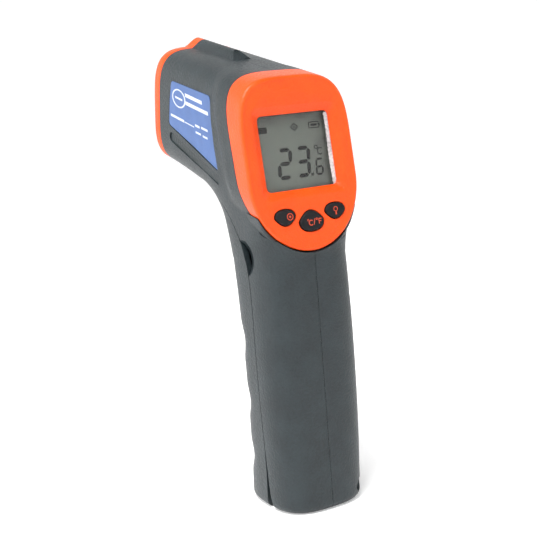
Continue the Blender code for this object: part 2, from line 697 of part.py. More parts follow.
display_bezel()
finish_part(face_plate("display_window", rounded_outline(16.4, WINDOW_LOW - 2.2, WINDOW_HIGH + 2.2, 1.5),
                       -3.6, -2.4), (0.75, 0.78, 0.74), 0.05, alpha=0.3)
finish_part(face_plate("lcd_panel", rounded_outline(16.4, -9.6, 21.6, 0.6), -6.6, -3.9),
            (0.13, 0.15, 0.13), 0.3)
finish_part(face_plate("lcd_backlight", rounded_outline(16.0, -6.2, 21.2, 0.6), -9.6, -6.9),
            (0.8, 0.8, 0.75), 0.4)
finish_part(face_plate("zebra_connector", rounded_outline(14.5, -9.4, -7.4, 0.3), -9.7, -6.9),
            (0.3, 0.3, 0.32), 0.6)
finish_part(face_plate("main_board", rounded_outline(14.2, -22.0, 26.0, 1.0), -11.6, -10.0),
            BOARD_GREEN, 0.45)
finish_part(face_plate("microcontroller", rounded_outline(5.0, 6.0, 16.0, 0.4), -13.4, -11.9),
            BLACK, 0.5)
buzzer = cylinder("buzzer", 4.5, (-7.5, -9.0, -11.9), (-7.5, -9.0, -15.4), bezel_frame, PARTS)
finish_part(buzzer, BLACK, 0.5)
for key, (middle_x, middle_u, _, _, _) in KEYS.items():
    cap = face_plate(key, key_outline(key), -5.6, 0.5)
    flange = face_plate("flange", key_outline(key, 0.8), -3.7, -2.6, CUTTERS)
    cap.data.transform(cap.matrix_world)
    cap.matrix_world = Matrix.Identity(4)
    boolean(cap, "UNION", [flange])
    hang_on_axis(cap, *(bezel_frame @ (Vector((middle_x, middle_u, 0.0)) * MM) / MM))
    finish_part(cap, BLACK, 0.7)
    switch = box(key.replace("key", "key_switch"), (middle_x - 1.8, middle_u - 1.8, -9.7),
                 (middle_x + 1.8, middle_u + 1.8, -8.0), bezel_frame, PARTS)
    switch.data.transform(switch.matrix_world)
    switch.matrix_world = Matrix.Identity(4)
    plunger = cylinder("plunger", 0.9, (middle_x, middle_u, -8.5), (middle_x, middle_u, -6.5),
                       bezel_frame, sides=12)
    boolean(switch, "UNION", [plunger])
    finish_part(switch, STEEL, 0.4, 0.6)


# ---- trigger ------------------------------------------------------------------------------------
def trigger():
    """A curved lever under its pin, with a finger hollow in its front."""
    front = smooth_path([(26.2, 114.6), (25.9, 109.0), (24.2, 103.0), (23.5, 96.0), (24.6, 89.5),
                         (25.9, 86.6)], 3)
    outline = [(18.5, 119.3), (22.5, 119.3), (25.0, 117.6)] + front
    outline += [(25.2, 85.4), (23.4, 85.0), (19.0, 85.8), (15.5, 88.0), (15.5, 107.0), (16.6, 112.0),
                (17.4, 118.0)]
    body = prism_x("trigger", outline, -TRIGGER_HALF_WIDTH - 1.0, TRIGGER_HALF_WIDTH + 1.0, PARTS)
    narrow = [box("narrow", (side_low, 10, 112.6), (side_high, 40, 130))
              for side_low, side_high in ((-9, -3.8), (3.8, 9))]
    hole = cylinder("trigger_hole", 1.3, (-10, TRIGGER_PIN_Y, TRIGGER_PIN_Z),
                    (10, TRIGGER_PIN_Y, TRIGGER_PIN_Z), sides=16)
    boolean(body, "INTERSECT", [round_footed("trigger_form", TRIGGER_HALF_WIDTH, 85.0)])
    boolean(body, "DIFFERENCE", narrow + [hole])
    hang_on_axis(body, 0.0, TRIGGER_PIN_Y, TRIGGER_PIN_Z)
    return finish_part(body, GREY, 0.5)


trigger()
pin = cylinder("trigger_pin", 1.0, (-10.0, TRIGGER_PIN_Y, TRIGGER_PIN_Z),
               (10.0, TRIGGER_PIN_Y, TRIGGER_PIN_Z), collection=PARTS, sides=16)
finish_part(pin, STEEL, 0.3, 1.0)
coil = []
for i in range(43):
    turn = 2 * math.pi * i / 14
    coil.append((4.5 + 1.9 * i / 42, TRIGGER_PIN_Y + 1.9 * math.cos(turn),
                 TRIGGER_PIN_Z + 1.9 * math.sin(turn)))
wire("trigger_spring", coil, 0.25, STEEL, 0.3, 1.0, smooth=False, sides=1)
finish_part(box("trigger_board", (-7.0, 6.0, 81.0), (7.0, 7.2, 103.0), collection=PARTS),
            BOARD_GREEN, 0.45)
trigger_switch = box("trigger_switch", (-3.0, 7.5, 87.0), (3.0, 11.0, 93.0), collection=PARTS)
boolean(trigger_switch, "UNION", [cylinder("switch_button", 1.6, (0, 10.5, 90), (0, 12.3, 90),
                                           sides=16)])
finish_part(trigger_switch, BLACK, 0.5)


# ---- battery and leads --------------------------------------------------------------------------
finish_part(box("battery_9v", (-13.0, -12.2, 9.2), (13.0, 4.8, 55.6), collection=PARTS,
                round_edges=1.6), (0.10, 0.10, 0.11), 0.35, 0.3)
snap = box("battery_snap", (-12.0, -10.6, 58.6), (12.0, 3.2, 61.2), collection=PARTS)
for name, x in (("stud_a", -6.3), ("stud_b", 6.3)):
    boolean(snap, "UNION", [cylinder(name, 2.8, (x, -3.7, 59.0), (x, -3.7, 55.9), sides=16)])
finish_part(snap, BLACK, 0.6)
wire("battery_lead_red", [(-1.2, -3.0, 61.7), (-1.2, -3.0, 68.0), (-1.6, -5.0, 78.0),
                          (-2.6, -6.0, 88.0), (-3.4, -4.2, 97.0)], 0.7, (0.5, 0.02, 0.02))
wire("battery_lead_black", [(1.2, -3.0, 61.7), (1.2, -3.0, 68.0), (1.6, -5.0, 78.0),
                            (2.6, -6.0, 88.0), (3.4, -4.2, 97.0)], 0.7, BLACK)


# ---- nose: ring, plate, lens, sensor and laser --------------------------------------------------
def nose_section(advance, inset):
    """The barrel's section, carried forward from the end of the body along the barrel."""
    rear_y, rear_z, front_y, front_z, half, roundness = BEND_SECTIONS[BEND_LAST]
    move_y, move_z = advance * math.cos(BARREL_PITCH), advance * math.sin(BARREL_PITCH)
    return section((rear_y + move_y, rear_z + move_z), (front_y + move_y, front_z + move_z),
                   half, roundness, inset, 36)


def nose_ring():
    stages = ((GAP, 0.0), (4.2, 0.0), (5.5, 0.5), (6.2, 1.3), (NOSE_RING_DEPTH, 2.6))
    ring = grid_solid("nose_ring", [nose_section(*stage) for stage in stages], PARTS)
    hump = ridge_form("ring_hump", 62.4)
    trim_rear = box("trim_rear", (-30, -40, -60), (30, 40, GAP), barrel_frame)
    trim_front = box("trim_front", (-30, -40, 4.9), (30, 40, 30), barrel_frame)
    boolean(hump, "DIFFERENCE", [trim_rear, trim_front])
    hollow = grid_solid("ring_hollow", [nose_section(-1.0, 2.0), nose_section(4.4, 2.0)])
    mouth = grid_solid("ring_mouth", [nose_section(3.0, 4.4), nose_section(8.0, 3.4)])
    boolean(ring, "UNION", [hump])
    boolean(ring, "DIFFERENCE", [hollow, mouth])
    return finish_part(ring, ORANGE, 0.35)


def along_barrel(height, advance):
    """A frame on the barrel's direction, at a height over the middle of the nose."""
    return barrel_frame @ Matrix.Translation(Vector((0.0, -height, advance)) * MM)


nose_ring()
plate = grid_solid("front_plate", [nose_section(1.9, 2.4), nose_section(4.1, 2.4)], PARTS)
lens_hole = cylinder("lens_hole", 9.0, (0, 0, -2), (0, 0, 8), along_barrel(-LENS_DROP, 0), sides=32)
laser_hole = cylinder("laser_hole", 2.2, (0, 0, -2), (0, 0, 8), along_barrel(LASER_RISE, 0), sides=20)
boolean(plate, "DIFFERENCE", [lens_hole, laser_hole])
finish_part(plate, BLACK, 0.5)

lens_axis = along_barrel(-LENS_DROP, 0.0)
tube = turned("lens_tube", [(8.7, 4.6), (8.7, -6.0), (7.0, -13.0), (6.2, -13.0), (6.2, -11.5),
                            (7.0, -5.4), (7.0, 1.2), (8.1, 1.2), (8.1, 4.6)], lens_axis)
finish_part(tube, BLACK, 0.6)
lens = turned("ir_lens", [(7.7, 1.6), (7.7, 2.4), (4.0, 3.0), (0.6, 3.2), (0.6, 1.6)], lens_axis)
finish_part(lens, (0.75, 0.75, 0.72), 0.35)
finish_part(turned("lens_ring", [(7.8, 2.8), (7.8, 4.2), (6.6, 4.2), (6.6, 3.1), (6.9, 2.9)], lens_axis),
            BLACK, 0.4)
can = cylinder("sensor_can", 4.1, (0, 0, -16.6), (0, 0, -12.2), lens_axis, PARTS)
finish_part(can, STEEL, 0.3, 1.0)
sensor_board = cylinder("sensor_board", 8.6, (0, 0, -18.4), (0, 0, -17.0), lens_axis, PARTS, sides=32)
finish_part(sensor_board, BOARD_GREEN, 0.45)
laser_axis = along_barrel(LASER_RISE, 0.0)
laser = cylinder("laser_module", 3.0, (0, 0, -12.0), (0, 0, 0.0), laser_axis, PARTS)
finish_part(laser, BRASS, 0.3, 1.0)
finish_part(cylinder("laser_window", 2.7, (0, 0, 0.4), (0, 0, 1.5), laser_axis, PARTS, sides=20),
            (0.5, 0.02, 0.02), 0.05)
wire("laser_lead", [(0, 42.3, 153.2), (0, 36.0, 152.0), (1.0, 24.0, 146.0), (1.5, 12.0, 142.0),
                    (1.5, 4.0, 140.4)], 0.6, (0.5, 0.02, 0.02))
wire("sensor_lead", [(0, 38.4, 136.8), (0, 32.0, 134.6), (-1.0, 20.0, 131.0), (-1.5, 10.0, 129.0),
                     (-1.5, 2.4, 128.0)], 0.8, (0.35, 0.35, 0.36))


# ---- screws and labels --------------------------------------------------------------------------
for number, (y, z, head_x) in enumerate(SCREWS, start=1):
    screw = cylinder(f"housing_screw_{number}", SCREW_CORE_RADIUS, (-9.0, y, z),
                     (head_x + 0.4, y, z), collection=PARTS, sides=12)
    head = cylinder("head", 2.2, (head_x, y, z), (head_x + 1.8, y, z), sides=16)
    slots = [box("slot_a", (head_x + 0.9, y - 1.4, z - 0.3), (head_x + 3, y + 1.4, z + 0.3)),
             box("slot_b", (head_x + 0.9, y - 0.3, z - 1.4), (head_x + 3, y + 0.3, z + 1.4))]
    boolean(screw, "UNION", [head])
    boolean(screw, "DIFFERENCE", slots)
    finish_part(screw, STEEL, 0.35, 1.0)

for name, side in (("label_left", -1), ("label_right", 1)):
    reach = sorted((side * (LABEL_FLOOR_X + 0.05), side * (LABEL_FLOOR_X + 0.25)))
    label = prism_x(name, label_outline(), reach[0], reach[1], PARTS)
    finish_part(label, (0.05, 0.16, 0.55), 0.4)

for cutter in CUTTERS.objects:
    cutter.hide_render = True
    cutter.display_type = "WIRE"
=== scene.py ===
"""Looks of a pistol-grip infrared thermometer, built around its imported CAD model.

World frame: +Z up, +Y the way the thermometer points, +X to the user's right.
Shapes are worked out in millimetres; MM turns them into Blender's metres.
"""

import math

import bmesh
import bpy
from mathutils import Matrix, Vector


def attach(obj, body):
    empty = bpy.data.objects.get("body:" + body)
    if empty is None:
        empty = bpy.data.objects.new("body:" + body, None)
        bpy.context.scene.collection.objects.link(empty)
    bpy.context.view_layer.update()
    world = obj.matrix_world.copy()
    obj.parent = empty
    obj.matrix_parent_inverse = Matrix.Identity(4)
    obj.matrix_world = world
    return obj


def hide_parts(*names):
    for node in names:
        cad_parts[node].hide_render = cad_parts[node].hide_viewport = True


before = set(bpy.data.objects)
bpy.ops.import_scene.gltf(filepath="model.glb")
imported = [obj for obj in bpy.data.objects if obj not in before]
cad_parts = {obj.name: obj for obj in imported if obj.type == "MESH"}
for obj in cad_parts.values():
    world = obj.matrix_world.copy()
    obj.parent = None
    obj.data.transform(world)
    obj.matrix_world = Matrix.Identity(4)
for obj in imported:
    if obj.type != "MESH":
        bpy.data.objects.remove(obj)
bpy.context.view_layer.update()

MM = 0.001

# ---- dimensions shared with the CAD model
GAP = 0.3                   # clearance between door, bezel and shells
WALL = 2.0
SEAM_HALF = 0.07            # half the fine line between the two shells
GRIP_BACK_Y = -18.0
GRIP_TOP_Z = 92.0
GRIP_WAIST_Z, GRIP_WAIST_Y = 50.0, 13.3
GRIP_FLARE, GRIP_FLARE_RUN = 4.8, 45.0
GRIP_HALF_WIDTH, GRIP_ROUNDNESS = 18.8, 3.0
FINGER_GROOVES = ((62.0, 8.0), (39.0, 7.5), (18.0, 7.5))
FINGER_DEPTH = 2.5
FOOT_ROUND = 3.0
BARREL_PITCH = math.radians(11.6)
COLLAR_BAND, COLLAR_FADE = 6.5, 7.5
BEZEL_LEAN = math.radians(8.0)
BEZEL_Y, BEZEL_Z = -14.3, 122.2
BEZEL_HALF_WIDTH = 21.5
BEZEL_TOP, BEZEL_BOTTOM = 31.6, -28.5
BEZEL_UPPER_CENTRE, BEZEL_LOWER_CENTRE = 6.0, -4.0
BEZEL_UPPER_ROUNDNESS = 3.7
REST_ARC_RADIUS = 94.0
REST_ARC_Y, REST_ARC_Z = -97.8, 141.5
REST_LINE_Z = 125.0
REST_TOP_Y, REST_TOP_Z = 0.1, 155.4
REST_SLOPE = 0.178
REST_FOOT_Z = 93.5
SHOULDER_Z, SHOULDER_DROP = 101.5, 3.5
WINDOW_HALF_WIDTH = 14.0
WINDOW_LOW, WINDOW_HIGH = -6.8, 19.0
PANE_HALF_WIDTH = 16.4
RIDGE_HEIGHT, RIDGE_START_Y = 3.4, 22.0
RIDGE_REAR_HALF_WIDTH, RIDGE_WIDENING = 4.6, 1.6
RIDGE_SINK, RIDGE_ROOT = 0.35, 3.0      # how deep its edges and its root lie in the barrel
DOOR_SEAM_Y = -4.0
NOTCH_X, NOTCH_Y, NOTCH_Z = 25.5, -1.2, 92.3
NOTCH_RADIUS, NOTCH_PAD_RADIUS = 9.6, 11.2
HINGE_Y, HINGE_Z = 14.2, 3.2
TRIGGER_PIN_Y, TRIGGER_PIN_Z = 20.5, 116.5
TRIGGER_HALF_WIDTH = 6.0
LENS_DROP, LASER_RISE = 3.5, 11.5

# Each body screw: y, z, and x of the underside of its head.
SCREWS = ((-13.5, 4.6, 10.0), (-11.0, 76.0, 12.5), (11.5, 112.5, 12.5), (8.0, 149.0, 12.5),
          (47.5, 126.0, 10.8), (35.5, 158.0, 12.5))
LABEL_FLOOR_X, STRIP_FLOOR_X = 18.9, 18.5
BEYOND_BODY_X = 30.0        # outside the body, where side cuts end

# ---- fineness of the visible surfaces
AROUND = 144                # points round the body
CAVITY_AROUND = 56
GRIP_STEP = 1.0             # millimetres between sections of the handle
BEND_STEPS = 112
BEZEL_AROUND = 168
RECESS_AROUND = 96          # points round hollows, mouths and holes
KEY_AROUND = 56
TURNED_SIDES = 72
WELD = 0.004                # millimetres under which points are merged after a Boolean
SOFTEN_ANGLE = math.radians(40.0)


# ---- mesh helpers
def new_object(name, data):
    made = bpy.data.objects.new(name, data)
    bpy.context.scene.collection.objects.link(made)
    return made


def from_bmesh(name, work, matrix=None):
    mesh = bpy.data.meshes.new(name)
    bmesh.ops.recalc_face_normals(work, faces=work.faces)
    work.to_mesh(mesh)
    work.free()
    made = new_object(name, mesh)
    if matrix is not None:
        made.matrix_world = matrix
    return made


def add_solid(work, rings, closed=False):
    """Add a closed solid through rings of points; with closed, the last ring joins the first."""
    loops = [[work.verts.new(Vector(point) * MM) for point in ring] for ring in rings]
    pairs = list(zip(loops, loops[1:])) + ([(loops[-1], loops[0])] if closed else [])
    for low, high in pairs:
        for i in range(len(low)):
            j = (i + 1) % len(low)
            work.faces.new((low[i], low[j], high[j], high[i]))
    if not closed:
        work.faces.new(list(reversed(loops[0])))
        work.faces.new(loops[-1])


def solids(name, many_rings, matrix=None, closed=False):
    """One object that holds a closed solid for each list of rings."""
    work = bmesh.new()
    for rings in many_rings:
        add_solid(work, rings, closed)
    return from_bmesh(name, work, matrix)


def loft(name, rings, matrix=None, closed=False):
    return solids(name, [rings], matrix, closed)


def prism_x(name, outline, x_low, x_high):
    """A side-view outline of (y, z) points, extruded from x_low to x_high."""
    return loft(name, [[(x, y, z) for y, z in outline] for x in (x_low, x_high)])


def plate(name, outline, w_low, w_high, matrix=None):
    """An outline of (x, y) points, extruded from w_low to w_high along its frame's Z."""
    return loft(name, [[(x, y, w) for x, y in outline] for w in (w_low, w_high)], matrix)


def box(name, low, high, matrix=None):
    outline = [(low[0], low[1]), (high[0], low[1]), (high[0], high[1]), (low[0], high[1])]
    return plate(name, outline, low[2], high[2], matrix)


def side_box(name, side, x_reach, y_reach, z_reach):
    low_x, high_x = sorted((side * x_reach[0], side * x_reach[1]))
    return box(name, (low_x, y_reach[0], z_reach[0]), (high_x, y_reach[1], z_reach[1]))


def rod(name, radius, start, end, matrix=None, radius_end=None, sides=48):
    """A cylinder or cone between two points."""
    start, end = Vector(start), Vector(end)
    turn = (end - start).to_track_quat("Z", "Y")
    rings = []
    for point, size in ((start, radius), (end, radius if radius_end is None else radius_end)):
        rings.append([point + turn @ Vector((size * math.cos(a), size * math.sin(a), 0.0))
                      for a in (2 * math.pi * i / sides for i in range(sides))])
    return loft(name, rings, matrix)


def turned(name, profile, matrix, sides=TURNED_SIDES):
    """A turned ring or disc about Z of its frame, from a closed (radius, height) profile."""
    rings = [[(radius * math.cos(a), radius * math.sin(a), height) for radius, height in profile]
             for a in (2 * math.pi * i / sides for i in range(sides))]
    return loft(name, rings, matrix, closed=True)


def ball(name, radius, middle):
    work = bmesh.new()
    bmesh.ops.create_uvsphere(work, u_segments=64, v_segments=40, radius=radius * MM)
    bmesh.ops.translate(work, vec=Vector(middle) * MM, verts=work.verts)
    return from_bmesh(name, work)


def catmull(points, place):
    last = len(points) - 1
    i = min(int(place), last - 1)
    t = place - i
    before, here = points[max(i - 1, 0)], points[i]
    after, beyond = points[i + 1], points[min(i + 2, last)]
    return tuple(
        0.5 * (2 * b + (c - a) * t + (2 * a - 5 * b + 4 * c - d) * t ** 2
               + (3 * b - a - 3 * c + d) * t ** 3)
        for a, b, c, d in zip(before, here, after, beyond))


def smooth_path(points, steps):
    return [catmull(points, i / steps) for i in range((len(points) - 1) * steps + 1)]


def bake_place(part):
    """Move a piece's own frame into its points."""
    part.data.transform(part.matrix_world)
    part.matrix_world = Matrix.Identity(4)
    return part


def apply_modifier(part, step):
    evaluated = part.evaluated_get(bpy.context.evaluated_depsgraph_get())
    mesh = bpy.data.meshes.new_from_object(evaluated)
    part.modifiers.remove(step)
    part.data = mesh


def carve(target, operation, others):
    """Boolean target with other objects in one step, and remove them."""
    basket = bpy.data.collections.new("basket")
    bpy.context.scene.collection.children.link(basket)
    for other in others:
        basket.objects.link(other)
    step = target.modifiers.new("carve", "BOOLEAN")
    step.operation = operation
    step.solver = "EXACT"
    step.operand_type = "COLLECTION"
    step.collection = basket
    apply_modifier(target, step)
    for other in others:
        bpy.data.objects.remove(other, do_unlink=True)
    bpy.data.collections.remove(basket)
    work = bmesh.new()
    work.from_mesh(target.data)
    bmesh.ops.remove_doubles(work, verts=work.verts, dist=WELD * MM)
    bmesh.ops.dissolve_degenerate(work, edges=work.edges, dist=WELD * MM)
    work.to_mesh(target.data)
    work.free()
    return target


def copy_of(source, name):
    made = new_object(name, source.data.copy())
    made.matrix_world = source.matrix_world.copy()
    return made


def soften(part, width, segments=3):
    """Round a piece's edges with an applied bevel."""
    step = part.modifiers.new("soften", "BEVEL")
    step.width = width * MM
    step.segments = segments
    step.limit_method = "ANGLE"
    step.angle_limit = SOFTEN_ANGLE
    apply_modifier(part, step)
    return part


def finish(part, look, body, stands_for=(), sharp=32.0):
    """Shade a piece, give it its material and hang it on its body."""
    part.data.materials.clear()
    part.data.materials.append(look)
    part.data.shade_smooth()
    part.data.set_sharp_from_angle(angle=math.radians(sharp))
    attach(part, body)
    if stands_for:
        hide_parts(*stands_for)


# ---- node materials
class Look:
    """A Principled material with helpers to add its node detail."""

    def __init__(self, name, roughness=0.5, metallic=0.0, specular=0.5):
        self.material = bpy.data.materials.new(name)
        self.material.use_nodes = True
        self.nodes = self.material.node_tree.nodes
        self.links = self.material.node_tree.links
        self.shader = self.nodes["Principled BSDF"]
        self.shader.inputs["Roughness"].default_value = roughness
        self.shader.inputs["Metallic"].default_value = metallic
        self.shader.inputs["Specular IOR Level"].default_value = specular
        self.place = self.nodes.new("ShaderNodeTexCoord").outputs["Object"]

    def noise(self, size_mm, detail=2.0, roughness=0.5, stretch=(1, 1, 1)):
        """A noise pattern with features of a size in millimetres."""
        scale = self.nodes.new("ShaderNodeMapping")
        scale.inputs["Scale"].default_value = [s / (size_mm * MM) for s in stretch]
        self.links.new(self.place, scale.inputs["Vector"])
        pattern = self.nodes.new("ShaderNodeTexNoise")
        pattern.inputs["Scale"].default_value = 1.0
        pattern.inputs["Detail"].default_value = detail
        pattern.inputs["Roughness"].default_value = roughness
        self.links.new(scale.outputs["Vector"], pattern.inputs["Vector"])
        return pattern.outputs["Fac"]

    def ramp(self, value, stops):
        """Colours along a value; the stops are (place, colour)."""
        node = self.nodes.new("ShaderNodeValToRGB")
        ends = node.color_ramp.elements
        while len(ends) < len(stops):
            ends.new(0.5)
        for end, (place, colour) in zip(ends, stops):
            end.position = place
            end.color = (*colour, 1.0)
        self.links.new(value, node.inputs["Fac"])
        return node.outputs["Color"]

    def spread(self, value, low, high, from_low=0.3, from_high=0.7):
        """A value mapped from the middle of a noise's range to a range of its own."""
        node = self.nodes.new("ShaderNodeMapRange")
        node.inputs["From Min"].default_value = from_low
        node.inputs["From Max"].default_value = from_high
        node.inputs["To Min"].default_value = low
        node.inputs["To Max"].default_value = high
        self.links.new(value, node.inputs["Value"])
        return node.outputs["Result"]

    def math(self, operation, a, b):
        """Two values, each a number or a socket, put together."""
        node = self.nodes.new("ShaderNodeMath")
        node.operation = operation
        for socket, value in zip(node.inputs, (a, b)):
            if isinstance(value, (int, float)):
                socket.default_value = value
            else:
                self.links.new(value, socket)
        return node.outputs["Value"]

    def mix(self, share, colour_a, colour_b):
        """From colour_a to colour_b by a share; each is a plain colour or a socket."""
        node = self.nodes.new("ShaderNodeMix")
        node.data_type = "RGBA"
        self.links.new(share, node.inputs["Factor"])
        # Sockets 6 and 7 are the mix node's two colours, and output 2 is their mix.
        for socket, colour in ((node.inputs[6], colour_a), (node.inputs[7], colour_b)):
            if isinstance(colour, tuple):
                socket.default_value = (*colour, 1.0)
            else:
                self.links.new(colour, socket)
        return node.outputs[2]

    def split(self):
        """The object's own x, y and z."""
        node = self.nodes.new("ShaderNodeSeparateXYZ")
        self.links.new(self.place, node.inputs["Vector"])
        return node.outputs

    def colour(self, source):
        self.links.new(source, self.shader.inputs["Base Color"])

    def roughness(self, source):
        self.links.new(source, self.shader.inputs["Roughness"])

    def bump(self, height, depth_mm, edge_mm=0.0):
        """Surface relief of a depth in millimetres, with softened edges under it."""
        node = self.nodes.new("ShaderNodeBump")
        node.inputs["Distance"].default_value = depth_mm * MM
        self.links.new(height, node.inputs["Height"])
        if edge_mm:
            edge = self.nodes.new("ShaderNodeBevel")
            edge.samples = 4
            edge.inputs["Radius"].default_value = edge_mm * MM
            self.links.new(edge.outputs["Normal"], node.inputs["Normal"])
        self.links.new(node.outputs["Normal"], self.shader.inputs["Normal"])


def moulded(name, colour, roughness, grain_mm=0.45, depth_mm=0.03, variation=0.10, edge_mm=0.25,
            specular=0.5):
    """Spark-eroded moulded plastic: fine pitted grain, slight mottling and worn-looking sheen."""
    look = Look(name, roughness, specular=specular)
    darker = tuple(c * (1.0 - variation) for c in colour)
    lighter = tuple(min(c * (1.0 + variation), 1.0) for c in colour)
    broad = look.noise(9.0, 3.0)
    fine = look.noise(grain_mm, 2.0, 0.6)
    mottled = look.math("ADD", look.math("MULTIPLY", broad, 0.5),
                        look.math("MULTIPLY", fine, 0.5))
    look.colour(look.ramp(mottled, ((0.36, darker), (0.64, lighter))))
    look.roughness(look.spread(fine, roughness - 0.07, roughness + 0.09))
    look.bump(fine, depth_mm, edge_mm=edge_mm)
    return look.material


def smooth(name, pattern, low, high, sheen, depth_mm=0.0, **surface):
    """A smooth surface between two colours, with an uneven sheen and perhaps a fine relief."""
    look = Look(name, **surface)
    grain = look.noise(*pattern)
    look.colour(look.ramp(grain, ((0.3, low), (0.7, high))))
    look.roughness(look.spread(grain, *sheen))
    if depth_mm:
        look.bump(grain, depth_mm)
    return look


def metal(name, colour, roughness):
    return smooth(name, (0.6, 3.0, 0.6), tuple(c * 0.82 for c in colour), colour,
                  (roughness - 0.06, roughness + 0.12), 0.01, metallic=1.0).material


GREY = (0.015, 0.022, 0.025)
ORANGE = (0.84, 0.068, 0.002)
body_look = moulded("body_grey_moulded", GREY, 0.42, 0.8, 0.22, 0.28, specular=0.38)
bezel_look = moulded("bezel_orange_moulded", ORANGE, 0.36, 0.8, 0.17, 0.10, 0.15, 0.32)
ring_look = moulded("ring_orange_moulded", ORANGE, 0.38, 0.8, 0.15, 0.10, 0.15, 0.32)
key_look = moulded("key_black_rubber", (0.008, 0.008, 0.009), 0.6, 0.3, 0.02, 0.15, 0.35, 0.2)
black_look = moulded("black_moulded", (0.018, 0.018, 0.019), 0.5, 0.4, 0.02, 0.15)
steel_look = metal("steel_turned", (0.56, 0.57, 0.58), 0.3)
brass_look = metal("brass_turned", (0.62, 0.44, 0.16), 0.3)


# ---- form of the body
def grip_front(z):
    """Side view of the handle's front, before its finger grooves."""
    return GRIP_WAIST_Y + GRIP_FLARE * ((z - GRIP_WAIST_Z) / GRIP_FLARE_RUN) ** 2


def finger_groove(z):
    """Depth of the finger grooves at a height."""
    depth = 0.0
    for middle, half_length in FINGER_GROOVES:
        reach = (z - middle) / half_length
        if abs(reach) < 1.0:
            depth += FINGER_DEPTH * 0.5 * (1.0 + math.cos(math.pi * reach))
    return depth


# Sections of the bend and the barrel: rear y, z; front y, z; half width; roundness.
BEND_SECTIONS = (
    (GRIP_BACK_Y, 80.0, grip_front(80.0), 80.0, 18.4, 3.0),
    (GRIP_BACK_Y, GRIP_TOP_Z, grip_front(GRIP_TOP_Z), GRIP_TOP_Z, 18.4, 3.0),
    (-21.0, 102.0, 19.6, 99.5, 18.6, 3.1),
    (-27.0, 116.0, 22.0, 105.6, 19.0, 3.3),
    (-30.0, 131.0, 25.4, 109.8, 19.3, 3.6),
    (-26.0, 144.5, 29.0, 112.9, 19.5, 3.9),
    (-13.0, 152.7, 33.5, 115.2, 19.5, 4.0),
    (2.0, 155.8, 39.3, 117.0, 19.5, 4.0),
    (20.0, 159.5, 46.5, 119.1, 19.4, 4.0),
    (37.0, 163.0, 54.2, 121.1, 19.2, 4.0),
    (52.8, 166.2, 61.8, 122.9, 19.0, 4.0),
    (68.6, 169.4, 69.4, 124.7, 18.8, 4.0),
)
BEND_FIRST, BEND_LAST = 1, len(BEND_SECTIONS) - 2


def bezel_half_width(u, inset=0.0):
    """Half width of the bezel's outline at height u on its face, 0 beyond its ends."""
    half = BEZEL_HALF_WIDTH - inset
    if u > BEZEL_UPPER_CENTRE:
        reach = (u - BEZEL_UPPER_CENTRE) / (BEZEL_TOP - inset - BEZEL_UPPER_CENTRE)
        power = BEZEL_UPPER_ROUNDNESS
    elif u < BEZEL_LOWER_CENTRE:
        reach = (BEZEL_LOWER_CENTRE - u) / (BEZEL_LOWER_CENTRE - BEZEL_BOTTOM - inset)
        power = 2.0
    else:
        return half
    return half * max(0.0, 1.0 - reach ** power) ** (1.0 / power)


def bezel_height(y, z):
    """Height u on the bezel's face of a point of the side view, swept along the barrel."""
    across = (z - BEZEL_Z) * math.cos(BARREL_PITCH) - (y - BEZEL_Y) * math.sin(BARREL_PITCH)
    return across / math.cos(BARREL_PITCH + BEZEL_LEAN)


def rest_y(z):
    """Side view of the seam where the bezel rests on the body."""
    if z >= REST_LINE_Z:
        return REST_TOP_Y + REST_SLOPE * (z - REST_TOP_Z)
    rise = min(abs(z - REST_ARC_Z), REST_ARC_RADIUS)
    return REST_ARC_Y + math.sqrt(REST_ARC_RADIUS ** 2 - rise ** 2)


def collar(x, y, z, inset):
    """Widen a flank point so that the body meets the bezel's outline in a raised collar."""
    ahead = y - rest_y(z)
    fade = min(max((ahead - COLLAR_BAND) / COLLAR_FADE, 0.0), 1.0)
    weight = 1.0 - fade * fade * (3.0 - 2.0 * fade)
    if weight <= 0.0 or z < REST_FOOT_Z - 6.0 or abs(x) < 0.01:
        return x
    growth = max(bezel_half_width(bezel_height(y, z), inset) - abs(x), 0.0)
    return x + math.copysign(growth * weight, x)


def section(rear, front, half_width, roundness, inset, count, groove=0.0):
    """One closed section of the body; its points are spread evenly round it."""
    (rear_y, rear_z), (front_y, front_z) = rear, front
    length = math.hypot(front_y - rear_y, front_z - rear_z)
    along_y, along_z = (front_y - rear_y) / length, (front_z - rear_z) / length
    middle = length / 2
    points = []
    for i in range(count):
        turn = 2 * math.pi * i / count
        c, s = math.cos(turn), math.sin(turn)
        size = (abs(c) ** roundness + abs(s) ** roundness) ** (1.0 / roundness)
        reach = middle - inset - (groove if c > 0 else 0.0)
        v = middle + reach * c / size
        x = (half_width - inset) * s / size
        y, z = rear_y + along_y * v, rear_z + along_z * v
        points.append((collar(x, y, z, inset), y, z))
    return points


def foot_inset(z):
    """How far the rounding of the handle's foot draws its section in."""
    below = max(FOOT_ROUND - z, 0.0) / FOOT_ROUND
    return FOOT_ROUND * (1.0 - math.sqrt(1.0 - below * below))


